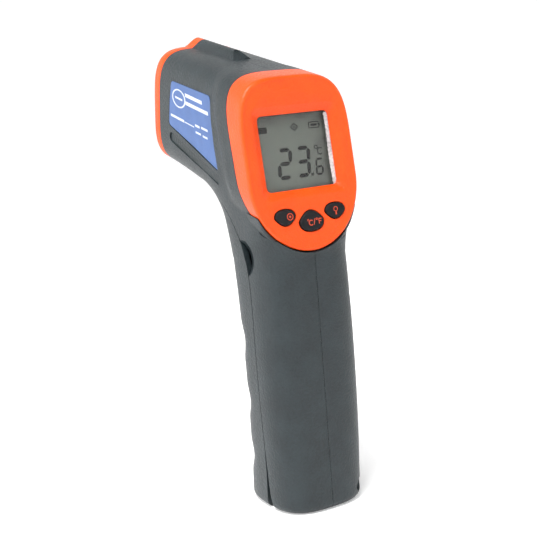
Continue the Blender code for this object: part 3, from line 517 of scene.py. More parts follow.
def body_form(name, inset, count, base_z, grip_step, bend_steps, end_reach):
    """The body without its ridge; inset makes the cavity inside it."""
    heights = [base_z] + [base_z + FOOT_ROUND * share for share in (0.08, 0.25, 0.5, 0.75, 1.0)]
    grip_rings = int((GRIP_TOP_Z - 1.0 - heights[-1]) / grip_step)
    heights += [heights[-1] + (GRIP_TOP_Z - heights[-1]) * i / (grip_rings + 1)
                for i in range(1, grip_rings + 1)]
    rings = []
    for z in heights:
        half = GRIP_HALF_WIDTH - 1.3 * ((z - 55.0) / 55.0) ** 2
        rings.append(section((GRIP_BACK_Y, z), (grip_front(z), z), half, GRIP_ROUNDNESS,
                             inset + foot_inset(z), count, finger_groove(z)))
    for i in range(bend_steps + 1):
        place = BEND_FIRST + (BEND_LAST + end_reach - BEND_FIRST) * i / bend_steps
        rear_y, rear_z, front_y, front_z, half, roundness = catmull(BEND_SECTIONS, place)
        rings.append(section((rear_y, rear_z), (front_y, front_z), half, roundness, inset, count))
    return loft(name, rings)


def barrel_top(y):
    return REST_TOP_Z + math.tan(BARREL_PITCH) * (y - REST_TOP_Y)


def ridge_form(name, y_end):
    """The sight ridge: a bell-shaped rib on the barrel's top with a sloping rear face."""
    rings = []
    bell = [-1.0 + i / 16.0 for i in range(33)]
    steps = 8
    for step in range(steps + 1):
        share = step / steps
        y = RIDGE_START_Y + (y_end - RIDGE_START_Y) * share
        half_width = RIDGE_REAR_HALF_WIDTH + RIDGE_WIDENING * share
        ring = []
        for t in bell:
            rise = RIDGE_HEIGHT * (0.5 + 0.5 * math.cos(math.pi * t)) ** 0.8
            lean = 1.5 * rise if step == 0 else 0.0
            ring.append((half_width * t, y + lean, barrel_top(y + lean) + rise - RIDGE_SINK))
        ring.append((half_width, y, barrel_top(y) - RIDGE_ROOT))
        ring.append((-half_width, y, barrel_top(y) - RIDGE_ROOT))
        rings.append(ring)
    return loft(name, rings)


barrel_frame = (Matrix.Translation(Vector((0.0, 57.3, 144.55)) * MM)
                @ Matrix.Rotation(BARREL_PITCH - math.pi / 2, 4, "X"))
bezel_frame = (Matrix.Translation(Vector((0.0, BEZEL_Y, BEZEL_Z)) * MM)
               @ Matrix.Rotation(math.pi / 2 - BEZEL_LEAN, 4, "X"))


def along_barrel(height, advance):
    """A frame on the barrel's direction, at a height over the middle of the nose."""
    return barrel_frame @ Matrix.Translation(Vector((0.0, -height, advance)) * MM)


outer = body_form("outer", 0.0, AROUND, 0.0, GRIP_STEP, BEND_STEPS, 0.0)
carve(outer, "UNION", [ridge_form("ridge", 55.5)])
carve(outer, "DIFFERENCE", [box("nose_trim", (-30, -40, 0.0), (30, 40, 30), barrel_frame)])
inner = body_form("inner", WALL, CAVITY_AROUND, 2.2, 4.0, 36, 0.4)


def seam_outline(gap):
    """Side view of the battery door's region; gap grows it for the hole in the shells."""
    bend = [(DOOR_SEAM_Y, 70.0), (-3.6, 80.0), (-1.9, 90.0), (0.6, 97.4), (4.6, 103.4),
            (9.6, 108.2), (16.0, 111.0), (30.0, 112.4)]
    side = [(y - gap, z + gap * 0.5) for y, z in smooth_path(bend, 8)]
    if gap:
        foot = [(DOOR_SEAM_Y - gap, 24.0), (DOOR_SEAM_Y - gap, 6.0), (-5.6, -1.0)]
    else:
        foot = [(DOOR_SEAM_Y, 24.0), (-3.4, 14.0), (-1.2, -1.0)]
    return [(40.0, -1.0), (40.0, 112.6 + gap)] + list(reversed(side)) + foot


def behind_rest(name, shift, foot_z, drop=0.0):
    """Everything behind the bezel's seam, above a height that falls by a drop at the rear."""
    heights = [foot_z + i * (170.0 - foot_z) / 60 for i in range(61)]
    outline = [(rest_y(z) + shift, z) for z in heights]
    outline += [(-60.0, 170.0), (-60.0, foot_z - drop), (BEZEL_Y - 4.0, foot_z - drop)]
    return prism_x(name, outline, -40, 40)


def bezel_ring(inset, depth, count=BEZEL_AROUND):
    """The bezel's outline at a depth under its face, where it is swept along the barrel."""
    shift = max(depth, 0.0) * math.tan(BARREL_PITCH + BEZEL_LEAN)
    half = BEZEL_HALF_WIDTH - inset
    points = []
    for i in range(count):
        turn = 2 * math.pi * (i + 0.5) / count
        c, s = math.cos(turn), math.sin(turn)
        if s > 0:
            power = BEZEL_UPPER_ROUNDNESS
            size = (abs(c) ** power + s ** power) ** (1.0 / power)
            u = BEZEL_UPPER_CENTRE + (BEZEL_TOP - inset - BEZEL_UPPER_CENTRE) * s / size
            x = half * c / size
        else:
            u = BEZEL_LOWER_CENTRE + (BEZEL_LOWER_CENTRE - BEZEL_BOTTOM - inset) * s
            x = half * c
        points.append((x, u + shift, -depth))
    return points


def bezel_pocket():
    """The room for the bezel in the shells, with its gap."""
    pocket = loft("bezel_pocket", [bezel_ring(-GAP, depth) for depth in (-16.0, 0.0, 14.0)],
                  bezel_frame)
    return carve(bake_place(pocket), "INTERSECT",
                 [behind_rest("pocket_zone", GAP / 2, REST_FOOT_Z - 1.0)])


def rounded_corners(corners, radius, steps=6):
    """A polygon with its corners rounded."""
    points = []
    count = len(corners)
    for i in range(count):
        here = Vector(corners[i])
        back = (Vector(corners[i - 1]) - here).normalized()
        on = (Vector(corners[(i + 1) % count]) - here).normalized()
        start, end = here + back * radius, here + on * radius
        for k in range(steps + 1):
            t = k / steps
            points.append(tuple((1 - t) ** 2 * start + 2 * t * (1 - t) * here + t ** 2 * end))
    return points


def label_outline(grow=0.0):
    """Side view of the flank label, with slightly bowed long sides."""
    corners = [(11.6, 122.3), (30.0, 130.6), (49.7, 138.7), (47.2, 147.5), (44.0, 154.7),
               (13.4, 148.5), (13.7, 139.5), (13.0, 131.0)]
    middle = Vector((30.0, 141.0))
    grown = [tuple(Vector(c) + (Vector(c) - middle).normalized() * grow) for c in corners]
    return rounded_corners(grown, 1.6)


def strip_outline():
    """Side view of the groove under the label, with a round front end."""
    slope = math.atan2(15.0, 36.6)
    along = Vector((math.cos(slope), math.sin(slope)))
    across = Vector((-along.y, along.x))
    rear, front, half = Vector((12.0, 118.9)), Vector((48.4, 133.7)), 1.9
    tip = [front + half * (math.cos(a) * across + math.sin(a) * along)
           for a in (math.pi * i / 24 for i in range(25))]
    return [tuple(point) for point in [rear + across * half] + tip + [rear - across * half]]


def side_prism(name, outline, side, floor_x):
    """A cut into one flank, from its floor out of the body."""
    return prism_x(name, outline, *sorted((side * floor_x, side * BEYOND_BODY_X)))


def shell_half(side, name, node):
    """One half of the body shell: side is -1 for the left half and 1 for the right."""
    half = copy_of(outer, name)
    cavity = copy_of(inner, "cavity")
    notch_middle = (side * NOTCH_X, NOTCH_Y, NOTCH_Z)
    carve(cavity, "DIFFERENCE", [
        ball("notch_pad", NOTCH_PAD_RADIUS, notch_middle),
        side_box("rim_pad", side, (7.0, 24), (-26.0, -8.2), (96.0, 107.0))])
    cuts = [cavity, prism_x("door_hole", seam_outline(GAP), -30, 30), bezel_pocket(),
            behind_rest("above_shoulders", GAP / 2, SHOULDER_Z, SHOULDER_DROP),
            box("base_recess", (-12.9, -9.3, -1.0), (12.9, 30.0, 2.6)),
            box("trigger_slot", (-6.7, 14.0, 98.0), (6.7, 27.4, 115.5)),
            side_box("other_side", side, (-60, SEAM_HALF), (-90, 120), (-20, 200)),
            ball("notch", NOTCH_RADIUS, notch_middle),
            side_prism("label_recess", label_outline(0.35), side, LABEL_FLOOR_X),
            side_prism("strip_recess", strip_outline(), side, STRIP_FLOOR_X)]
    if side > 0:
        for y, z, head_x in SCREWS:
            cuts.append(rod("head_hole", 2.6, (head_x - 0.3, y, z), (BEYOND_BODY_X, y, z),
                            sides=40))
    carve(half, "DIFFERENCE", cuts)
    finish(half, body_look, "housing", (node,))


shell_half(-1, "shell_left", "housing_left")
shell_half(1, "shell_right", "housing_right")


# ---- battery door
def round_footed(name, half, foot_z):
    """A block with a half-round foot, seen from the front: the trigger's form and its slot."""
    arc = [(half * math.cos(a), foot_z + half - half * math.sin(a))
           for a in (math.pi * i / 32 for i in range(33))]
    outline = [(half, 130.0)] + arc + [(-half, 130.0)]
    return loft(name, [[(x, y, z) for x, z in outline] for y in (4.0, 50.0)])


door = copy_of(outer, "door_panel")
carve(door, "INTERSECT", [prism_x("door_region", seam_outline(0.0), -30, 30)])
carve(door, "DIFFERENCE", [
    copy_of(inner, "door_cavity"),
    round_footed("trigger_gap", TRIGGER_HALF_WIDTH + 1.0, 84.0),
    box("floor_slot", (-13.4, -20, -2), (13.4, HINGE_Y + 1.9, 2.4)),
    box("clear_lugs", (-8.0, 0, -2), (8.0, HINGE_Y + 2.3, 5.4))])
finish(door, body_look, "door", ("battery_door",))


# ---- display bezel
def face_rectangle(half, low, high, radius, steps=6):
    """A rounded rectangle on the bezel's face, even to both sides."""
    return rounded_corners([(half, high), (-half, high), (-half, low), (half, low)], radius, steps)


def window_outline(grow, radius):
    return face_rectangle(WINDOW_HALF_WIDTH + grow, WINDOW_LOW - grow, WINDOW_HIGH + grow,
                          radius, 8)


# Each key on the bezel's face: middle x and u, half width and height, 1 if it points up or -1 down.
KEYS = {"key_left": (-9.5, -15.7, 4.0, 2.7, -1), "key_centre": (0.5, -18.0, 4.8, 3.5, 1),
        "key_right": (10.4, -15.8, 4.0, 2.7, -1)}


def key_outline(key, grow):
    """A rounded triangle: the centre key points up, the outer keys point down."""
    middle_x, middle_u, half_width, half_height, way = KEYS[key]
    points = []
    for i in range(KEY_AROUND):
        turn = 2 * math.pi * i / KEY_AROUND
        c, s = math.cos(turn), math.sin(turn)
        size = (abs(c) ** 2.3 + abs(s) ** 2.3) ** (1.0 / 2.3)
        c, s = c / size, s / size
        pinch = 1.0 - 0.42 * max(way * s, 0.0)
        points.append((middle_x + (half_width + grow) * c * pinch,
                       middle_u + (half_height + grow) * s))
    return points


def key_solid(name, key, steps):
    """A solid over a key's place, through steps of (outward growth, height over the face)."""
    return loft(name, [[(x, u, w) for x, u in key_outline(key, grow)] for grow, w in steps],
                bezel_frame)


# The bezel's edge, from its face down: inset and depth.
BEZEL_PROFILE = ((2.5, 0.20), (1.75, 0.17), (1.45, 0.10), (1.25, 0.02), (1.0, 0.0), (0.75, 0.05),
                 (0.5, 0.17), (0.3, 0.36), (0.14, 0.62), (0.04, 0.95), (0.0, 1.4), (0.0, 9.0),
                 (0.0, 16.0))
# The window's opening: outward growth, height over the face, corner radius.
OPENING_STEPS = ((0.0, -4.0, 2.0), (0.0, -1.85, 2.0), (0.12, -1.68, 2.1), (2.6, -0.38, 3.2),
                 (2.9, -0.2, 3.4), (4.2, 0.6, 4.2))
KEY_HOLE = ((0.25, -4.0), (0.25, -0.4), (0.45, -0.1), (0.9, 0.5))
bezel = loft("bezel", [bezel_ring(*stage) for stage in BEZEL_PROFILE], bezel_frame)
hollow = loft("bezel_hollow", [bezel_ring(1.9, depth, RECESS_AROUND) for depth in (2.2, 18.0)],
              bezel_frame)
opening = loft("window_opening", [[(x, u, w) for x, u in window_outline(grow, radius)]
                                  for grow, w, radius in OPENING_STEPS], bezel_frame)
holes = [key_solid(key + "_hole", key, KEY_HOLE) for key in KEYS]
bake_place(bezel)
carve(bezel, "DIFFERENCE", [hollow, opening] + holes)
carve(bezel, "INTERSECT", [behind_rest("bezel_zone", -GAP / 2, REST_FOOT_Z - 0.5)])
finish(bezel, bezel_look, "housing", ("display_bezel",))

# The body's lip round the lower edge of the bezel; it thins out up the sides, at LIP_TOP_U.
LIP_TOP_U, LIP_FULL_U, LIP_WIDTH = -14.0, -22.0, 1.5
LIP_PROFILE = ((0.0, 1.1), (0.3, 1.0), (0.65, 1.5), (0.9, 2.6), (1.0, 4.2), (1.0, 9.0), (0.0, 9.0))


def lip_sections():
    """Sections of the lip, one at each point of the bezel's lower outline."""
    near, far = bezel_ring(-GAP, 0.0), bezel_ring(-GAP - LIP_WIDTH, 0.0)
    slide = math.tan(BARREL_PITCH + BEZEL_LEAN)
    sections = []
    for (ax, au, _), (bx, bu, _) in zip(near, far):
        weight = (LIP_TOP_U - au) / (LIP_TOP_U - LIP_FULL_U)
        if weight > 0.06:
            weight = min(weight, 1.0)
            weight = weight * weight * (3.0 - 2.0 * weight)
            sections.append([(ax + (bx - ax) * share * weight,
                              au + (bu - au) * share * weight + depth * slide, -depth)
                             for share, depth in LIP_PROFILE])
    return sections


finish(loft("bezel_lip", lip_sections(), bezel_frame), body_look, "housing",
       sharp=50.0)


# ---- keys
KEY_CAP = ((0.0, -3.4), (0.0, -0.1), (-0.08, 0.12), (-0.35, 0.34), (-0.8, 0.45), (-1.6, 0.5))
KEY_BODIES = {"key_left": "left_key", "key_centre": "centre_key", "key_right": "right_key"}
mark_look = moulded("key_mark_red", (0.55, 0.05, 0.012), 0.5, 0.3, 0.01, 0.2, 0.0)
for key, body in KEY_BODIES.items():
    finish(key_solid(key + "_cap", key, KEY_CAP), key_look, body, (key,))


def stroke(points, width, closed=False):
    """Outlines of the straight strokes through points, each a thin rectangle with overlap."""
    pieces = []
    runs = list(zip(points, points[1:])) + ([(points[-1], points[0])] if closed else [])
    for start, end in runs:
        a, b = Vector(start), Vector(end)
        along = (b - a).normalized()
        across = Vector((-along.y, along.x)) * width / 2
        a, b = a - along * width * 0.35, b + along * width * 0.35
        pieces.append([tuple(p) for p in (a - across, b - across, b + across, a + across)])
    return pieces


def disc(x, y, radius, sides=24):
    """Outline of a round dot."""
    return [(x + radius * math.cos(a), y + radius * math.sin(a))
            for a in (2 * math.pi * i / sides for i in range(sides))]


def ring_strokes(x, y, radius, width, start=0.0, end=360.0, sides=28):
    """Outlines of a ring, or of an arc between two angles in degrees."""
    points = [(x + radius * math.cos(math.radians(start + (end - start) * i / sides)),
               y + radius * math.sin(math.radians(start + (end - start) * i / sides)))
              for i in range(sides + 1)]
    pieces = []
    for (ax, ay), (bx, by) in zip(points, points[1:]):
        inner_share, outer_share = 1 - width / 2 / radius, 1 + width / 2 / radius
        pieces.append([tuple((x + (px - x) * share, y + (py - y) * share))
                       for px, py, share in ((ax, ay, inner_share), (bx, by, inner_share),
                                             (bx, by, outer_share), (ax, ay, outer_share))])
    return pieces


def print_marks(name, outlines, low, high, matrix):
    """Thin raised print: every outline extruded from low to high over its frame."""
    return solids(name, [[[(x, y, w) for x, y in outline] for w in (low, high)]
                         for outline in outlines], matrix)


def letter_c(x, y, height, width):
    return ring_strokes(x, y, height / 2, width, 50, 310, 14)


def letter_f(x, y, height, width):
    half = height / 2
    left, right = x - half * 0.6, x + half * 0.6
    return (stroke([(left, y - half), (left, y + half), (right, y + half)], width)
            + stroke([(left, y), (x + half * 0.35, y)], width))


def left_mark(x, u):
    """A ring with a dot in it."""
    return ring_strokes(x + 1.5, u + 0.1, 1.1, 0.32) + [disc(x + 1.5, u + 0.1, 0.42)]


def centre_mark(x, u):
    """Degrees C, a slash, degrees F."""
    return (ring_strokes(x - 1.7, u + 0.3, 0.3, 0.2, sides=12)
            + letter_c(x - 0.6, u - 0.7, 1.7, 0.34)
            + stroke([(x + 0.45, u - 1.4), (x + 0.95, u + 0.5)], 0.26)
            + ring_strokes(x + 1.7, u + 0.35, 0.3, 0.2, sides=12)
            + letter_f(x + 3.0, u - 0.5, 1.6, 0.34))


def right_mark(x, u):
    """A lamp: a ring on a short stem."""
    return (ring_strokes(x - 0.1, u + 0.5, 0.75, 0.28)
            + stroke([(x - 0.1, u - 0.4), (x - 0.1, u - 1.3)], 0.5))


MARK_LOW, MARK_HIGH = 0.49, 0.53        # the keys' tops are at 0.5
for key, draw in (("key_left", left_mark), ("key_centre", centre_mark), ("key_right", right_mark)):
    marks = draw(*KEYS[key][:2])
    finish(print_marks(key + "_mark", marks, MARK_LOW, MARK_HIGH, bezel_frame), mark_look,
           KEY_BODIES[key])


# ---- display
LCD_W = -3.9                # height of the LCD's face over the bezel's
lcd = Look("lcd_reflective", 0.32)
cell_x, cell_u, _ = lcd.split()
cloud = lcd.noise(5.0, 3.0, 0.6)
fine = lcd.noise(0.7, 2.0)
# Painted light on the LCD: the right side turns darker as painted shade and reflection, and a band
# along the top edge turns darker as painted shadow under the window's rim; the cloud noise adds
# lighter patches and the fine noise a grain.
lcd_painted_shade = lcd.mix(lcd.spread(cell_x, 0.0, 1.0, 0.004, 0.0125), (0.112, 0.130, 0.112),
                (0.066, 0.068, 0.062))
lcd_painted_shade = lcd.mix(lcd.spread(cell_u, 0.0, 1.0, 0.0155, 0.0190), lcd_painted_shade, (0.050, 0.048, 0.046))
lcd_painted_shade = lcd.mix(lcd.spread(cloud, 0.0, 0.6), lcd_painted_shade, (0.150, 0.165, 0.140))
lcd.colour(lcd.mix(lcd.spread(fine, 0.0, 0.25), lcd_painted_shade, (0.10, 0.11, 0.10)))
lcd.bump(fine, 0.01)
lcd_panel = plate("lcd_glass", face_rectangle(PANE_HALF_WIDTH, -9.6, 21.6, 0.6), -6.6, LCD_W,
                  bezel_frame)
finish(lcd_panel, lcd.material, "housing", ("lcd_panel",))

DIGIT_SLANT = 0.10


def bar(ax, au, bx, bu, width):
    """One six-sided segment of a digit."""
    a, b = Vector((ax, au)), Vector((bx, bu))
    along = (b - a).normalized()
    across = Vector((-along.y, along.x)) * width / 2
    nib = along * width / 2
    return [tuple(p) for p in (a, a + nib - across, b - nib - across, b, b - nib + across,
                               a + nib + across)]


def digit(left, low, width, height, thick, lit):
    """Seven-segment digit; lit names its segments: a to f clockwise from the top, g the middle."""
    right, high, middle, gap = left + width, low + height, low + height / 2, thick * 0.14
    places = {"a": (left + gap, high, right - gap, high),
              "b": (right, high - gap, right, middle + gap),
              "c": (right, middle - gap, right, low + gap),
              "d": (left + gap, low, right - gap, low),
              "e": (left, middle - gap, left, low + gap),
              "f": (left, high - gap, left, middle + gap),
              "g": (left + gap, middle, right - gap, middle)}
    outlines = []
    for segment in lit:
        ax, au, bx, bu = places[segment]
        outline = bar(ax, au, bx, bu, thick)
        outlines.append([(x + DIGIT_SLANT * (u - low), u) for x, u in outline])
    return outlines


# The two large digits, the small one, the point, then the degree sign and its letter.
readout = digit(-7.1, -2.35, 4.4, 9.4, 1.4, "abged")
readout += digit(0.2, -2.35, 4.4, 9.4, 1.4, "abgcd")
readout += digit(7.6, -2.6, 2.5, 5.2, 0.75, "afgedc")
readout += [[(5.3, -2.8), (6.3, -2.8), (6.4, -1.9), (5.4, -1.9)]]
readout += ring_strokes(8.7, 6.8, 0.62, 0.34, sides=16) + letter_c(10.2, 5.3, 2.2, 0.42)
# The row of icons: a plain block, a diamond with a dot, a battery.
readout += [rounded_corners([(-12.9, 13.3), (-9.6, 13.3), (-9.6, 15.4), (-12.9, 15.4)], 0.3, 3)]
readout += stroke([(-0.2, 14.5), (1.2, 13.3), (2.6, 14.5), (1.2, 15.7)], 0.38, closed=True)
readout += [disc(1.2, 14.5, 0.42, 12)]
readout += stroke([(7.1, 13.5), (11.0, 13.5), (11.0, 15.5), (7.1, 15.5)], 0.34, closed=True)
readout += [[(7.9, 14.1), (10.4, 14.1), (10.4, 14.9), (7.9, 14.9)],
            [(11.2, 14.1), (11.6, 14.1), (11.6, 14.9), (11.2, 14.9)]]
digit_look = moulded("lcd_segment", (0.012, 0.013, 0.014), 0.45, 0.6, 0.004, 0.3, 0.0, 0.2)
finish(print_marks("lcd_readout", readout, LCD_W - 0.02, LCD_W + 0.02, bezel_frame), digit_look,
       "housing")

# A pale material for the painted highlight on the window's right inner wall.
window_edge_highlight_look = moulded("window_edge_painted_highlight", (0.50, 0.47, 0.47), 0.35, 0.8, 0.05, 0.35, 0.0)
# Painted highlight: a pale strip down the window's right side, with a ragged inner edge, stands for
# the lit inner wall of the window.
ragged_edge = [(12.55 + 0.16 * math.sin(2.6 * i) + 0.12 * math.sin(6.1 * i + 1.0),
                WINDOW_LOW + 0.1 + i * 0.64) for i in range(40)]
edge_outline = ragged_edge + [(14.1, WINDOW_HIGH - 0.6), (14.1, WINDOW_LOW + 0.1)]
finish(plate("window_edge", edge_outline, -2.38, -2.25, bezel_frame), window_edge_highlight_look, "housing")

window = smooth("window_clear", (2.5, 2.0), (0.10, 0.10, 0.10), (0.16, 0.16, 0.15), (0.08, 0.2),
                specular=0.3)
window.shader.inputs["Alpha"].default_value = 0.08
window.shader.inputs["IOR"].default_value = 1.49
glass = plate("window_pane", face_rectangle(PANE_HALF_WIDTH, -9.0, 21.2, 1.2), -3.6, -2.4,
              bezel_frame)
finish(glass, window.material, "housing", ("display_window",))


# ---- nose: ring, plate, lens and laser
NOSE_RING_DEPTH = 6.6


def nose_section(advance, inset, count=AROUND):
    """The barrel's section, carried forward from the end of the body along the barrel."""
    rear_y, rear_z, front_y, front_z, half, roundness = BEND_SECTIONS[BEND_LAST]
    move_y, move_z = advance * math.cos(BARREL_PITCH), advance * math.sin(BARREL_PITCH)
    return section((rear_y + move_y, rear_z + move_z), (front_y + move_y, front_z + move_z),
                   half, roundness, inset, count)


# The ring from rear to front: advance along the barrel, inset.
RING_STAGES = ((GAP, 0.35), (GAP + 0.12, 0.1), (GAP + 0.4, 0.0), (4.2, 0.0), (4.9, 0.18),
               (5.5, 0.5), (6.0, 1.0), (6.35, 1.6), (NOSE_RING_DEPTH, 2.6))
nose_ring = loft("nose_ring_shell", [nose_section(*stage) for stage in RING_STAGES])
hump = ridge_form("ring_hump", 62.6)
carve(hump, "DIFFERENCE", [box("trim_rear", (-30, -40, -60), (30, 40, GAP), barrel_frame),
                           box("trim_front", (-30, -40, 5.2), (30, 40, 30), barrel_frame)])
carve(nose_ring, "UNION", [hump])
carve(nose_ring, "DIFFERENCE", [
    loft("ring_hollow", [nose_section(-1.0, 2.0, RECESS_AROUND),
                         nose_section(4.4, 2.0, RECESS_AROUND)]),
    loft("ring_mouth", [nose_section(3.0, 4.4, RECESS_AROUND),
                        nose_section(8.0, 3.4, RECESS_AROUND)])])
finish(nose_ring, ring_look, "housing", ("nose_ring",))

lens_axis, laser_axis = along_barrel(-LENS_DROP, 0.0), along_barrel(LASER_RISE, 0.0)
front = loft("front_panel", [nose_section(advance, inset) for advance, inset in
                             ((1.9, 2.4), (3.9, 2.4), (4.1, 2.6))])
carve(front, "DIFFERENCE", [
    rod("lens_hole", 9.0, (0, 0, -2), (0, 0, 3.8), lens_axis, sides=RECESS_AROUND),
    rod("lens_mouth", 9.0, (0, 0, 3.7), (0, 0, 4.3), lens_axis, 9.6, RECESS_AROUND),
    rod("laser_hole", 2.2, (0, 0, -2), (0, 0, 3.8), laser_axis, sides=64),
    rod("laser_mouth", 2.2, (0, 0, 3.7), (0, 0, 4.3), laser_axis, 2.8, 64)])
finish(front, black_look, "housing", ("front_plate",))
TUBE_PROFILE = ((8.5, 4.6), (8.7, 4.4), (8.7, -6.0), (7.0, -13.0), (6.2, -13.0), (6.2, -11.5),
                (7.0, -5.4), (7.0, 1.2), (8.1, 1.2), (8.1, 4.4), (8.3, 4.6))
finish(turned("lens_barrel", TUBE_PROFILE, lens_axis), black_look, "housing",
       ("lens_tube",))
RETAINER_PROFILE = ((7.78, 2.85), (7.78, 4.0), (7.6, 4.2), (6.8, 4.2), (6.6, 4.0), (6.6, 3.1),
                    (6.9, 2.9))
finish(turned("lens_retainer", RETAINER_PROFILE, lens_axis), black_look, "housing",
       ("lens_ring",))
lens_glass = smooth("lens_clear_fresnel", (1.2, 3.0, 0.6), (0.50, 0.50, 0.47),
                    (0.68, 0.68, 0.64), (0.25, 0.42), 0.02)
# A ringed disc, as radius and height; each groove is a step up towards the middle.
lens_profile = [(7.7, 1.6), (7.7, 2.35)]
for groove in range(9):
    radius = 7.2 - groove * 0.72
    height = 2.42 + 0.07 * groove
    lens_profile += [(radius, height), (radius - 0.1, height + 0.14)]
lens_profile += [(0.6, 3.2), (0.6, 1.6)]
finish(turned("lens_disc", lens_profile, lens_axis), lens_glass.material, "housing",
       ("ir_lens",), 20.0)
laser_glass = smooth("laser_red_window", (0.8, 2.0), (0.20, 0.006, 0.006), (0.34, 0.012, 0.01),
                     (0.08, 0.2))
laser_pane = rod("laser_pane", 2.65, (0, 0, 0.45), (0, 0, 1.45), laser_axis, sides=64)
finish(soften(bake_place(laser_pane), 0.15), laser_glass.material, "housing",
       ("laser_window",))


# ---- trigger
trigger_front = smooth_path([(26.2, 114.6), (25.9, 109.0), (24.2, 103.0), (23.5, 96.0),
                             (24.6, 89.5), (25.9, 86.6)], 8)
trigger_side = ([(18.5, 119.2), (22.5, 119.2), (25.0, 117.6)] + trigger_front
                + [(25.2, 85.4), (23.4, 85.05), (19.0, 85.8), (15.6, 88.0), (15.6, 107.0),
                   (16.6, 112.0), (17.4, 118.0)])
lever = prism_x("trigger_lever_form", trigger_side, -TRIGGER_HALF_WIDTH, TRIGGER_HALF_WIDTH)
carve(lever, "INTERSECT", [round_footed("trigger_form", TRIGGER_HALF_WIDTH - 0.02, 85.02)])
carve(lever, "DIFFERENCE", [box("narrow_left", (-9, 10, 112.6), (-3.8, 40, 130)),
                            box("narrow_right", (3.8, 10, 112.6), (9, 40, 130)),
                            rod("trigger_hole", 1.3, (-10, TRIGGER_PIN_Y, TRIGGER_PIN_Z),
                                (10, TRIGGER_PIN_Y, TRIGGER_PIN_Z))])
soften(lever, 0.5)
trigger_look = moulded("trigger_grey_moulded", (0.060, 0.075, 0.075), 0.48, 0.42, 0.025)
finish(lever, trigger_look, "trigger_lever", ("trigger",))


# ---- base insert, screws, labels
insert = box("base_plate", (-12.6, -9.0, 0.0), (12.6, 12.4, 2.2))
carve(insert, "UNION", [rod("knuckle", 1.9, (-7.8, HINGE_Y, HINGE_Z), (7.8, HINGE_Y, HINGE_Z)),
                        box("knuckle_web", (-7.8, 10.0, 0.0), (7.8, HINGE_Y, 2.2)),
                        box("battery_rest", (-9.0, -7.6, 1.0), (9.0, 5.0, 8.8))])
carve(insert, "DIFFERENCE", [box("door_relief", (-14, 10.8, -1), (14, 20, 1.2)),
                             rod("insert_hole", 1.2, (-14, HINGE_Y, HINGE_Z),
                                 (14, HINGE_Y, HINGE_Z))])
soften(insert, 0.25, 2)
finish(insert, body_look, "housing", ("base_insert",))

# Nearly on the axis: a point on it would fold the turned surface shut.
AXIS_RADIUS = 0.0001
for number, (y, z, head_x) in enumerate(SCREWS, start=1):
    middle = Matrix.Translation(Vector((0.0, y, z)) * MM)
    top = head_x + 1.8
    profile = ((AXIS_RADIUS, -9.0), (0.9, -8.8), (1.0, -8.4), (1.0, head_x), (2.2, head_x),
               (2.2, top - 0.7), (1.95, top - 0.25), (1.4, top - 0.05), (AXIS_RADIUS, top))
    screw = turned("screw_%d" % number, profile, middle @ Matrix.Rotation(math.pi / 2, 4, "Y"), 40)
    bake_place(screw)
    low = head_x + 0.7
    turn = middle @ Matrix.Rotation(math.radians(17 * number), 4, "X")
    carve(screw, "DIFFERENCE", [box("slot_a", (low, -1.3, -0.27), (low + 3, 1.3, 0.27), turn),
                                box("slot_b", (low, -0.27, -1.3), (low + 3, 0.27, 1.3), turn)])
    finish(screw, steel_look, "housing", ("housing_screw_%d" % number,))

label_look = Look("label_blue_print", 0.38)
wash = label_look.noise(6.0, 4.0, 0.6)
dots = label_look.noise(0.35, 1.0)
tint = label_look.ramp(wash, ((0.35, (0.030, 0.082, 0.235)), (0.65, (0.042, 0.105, 0.285))))
label_look.colour(label_look.mix(label_look.spread(dots, 0.0, 0.25), tint, (0.08, 0.15, 0.36)))
label_look.roughness(label_look.spread(dots, 0.32, 0.46))
label_look.bump(dots, 0.008, edge_mm=0.1)
white_look = smooth("label_white_print", (0.5, 2.0), (0.42, 0.46, 0.55), (0.60, 0.63, 0.70),
                    (0.36, 0.5))


def slanted_bar(ay, az, by, bz, height):
    """A printed bar along a line, with upright ends."""
    half = height / 2
    return [(ay, az - half), (by, bz - half), (by, bz + half), (ay, az + half)]


def ellipse_ring(y, z, radius_y, radius_z, width, tilt, sides=40):
    """Outlines of a tilted elliptic ring; its width is a share of its radius."""
    pieces = []
    for i in range(sides):
        corners = []
        for k, share in ((i, 1 - width), (i + 1, 1 - width), (i + 1, 1.0), (i, 1.0)):
            a = 2 * math.pi * k / sides
            py, pz = radius_y * share * math.cos(a), radius_z * share * math.sin(a)
            corners.append((y + py * math.cos(tilt) - pz * math.sin(tilt),
                            z + py * math.sin(tilt) + pz * math.cos(tilt)))
        pieces.append(corners)
    return pieces


# Plain bars and a plain ring stand where a maker would print its texts: ends of each bar, height.
LABEL_BARS = ((20.0, 146.2, 33.2, 149.2, 1.3), (15.8, 142.3, 33.4, 146.3, 1.3),
              (36.0, 139.6, 47.2, 142.2, 0.9), (28.0, 137.6, 35.5, 139.4, 0.35),
              (17.3, 136.3, 22.3, 137.4, 0.8), (23.6, 137.5, 27.0, 138.3, 0.8),
              (17.9, 133.6, 21.5, 134.4, 0.7), (23.0, 134.9, 27.0, 135.8, 0.7))
label_marks = [slanted_bar(*bar_ends) for bar_ends in LABEL_BARS]
label_marks += ellipse_ring(38.9, 148.0, 5.6, 3.4, 0.14, math.radians(13))
label_marks += [slanted_bar(36.0, 147.3, 41.8, 148.7, 0.7)]
for side, name in ((-1, "left"), (1, "right")):
    reach = sorted((side * (LABEL_FLOOR_X + 0.05), side * (LABEL_FLOOR_X + 0.22)))
    sheet = prism_x("label_sheet_" + name, label_outline(), *reach)
    finish(sheet, label_look.material, "housing", ("label_" + name,))
    faces_x = (side * (LABEL_FLOOR_X + 0.20), side * (LABEL_FLOOR_X + 0.25))
    label_print = solids("label_print_" + name, [[[(x, y, z) for y, z in outline] for x in faces_x]
                                                 for outline in label_marks])
    finish(label_print, white_look.material, "housing")


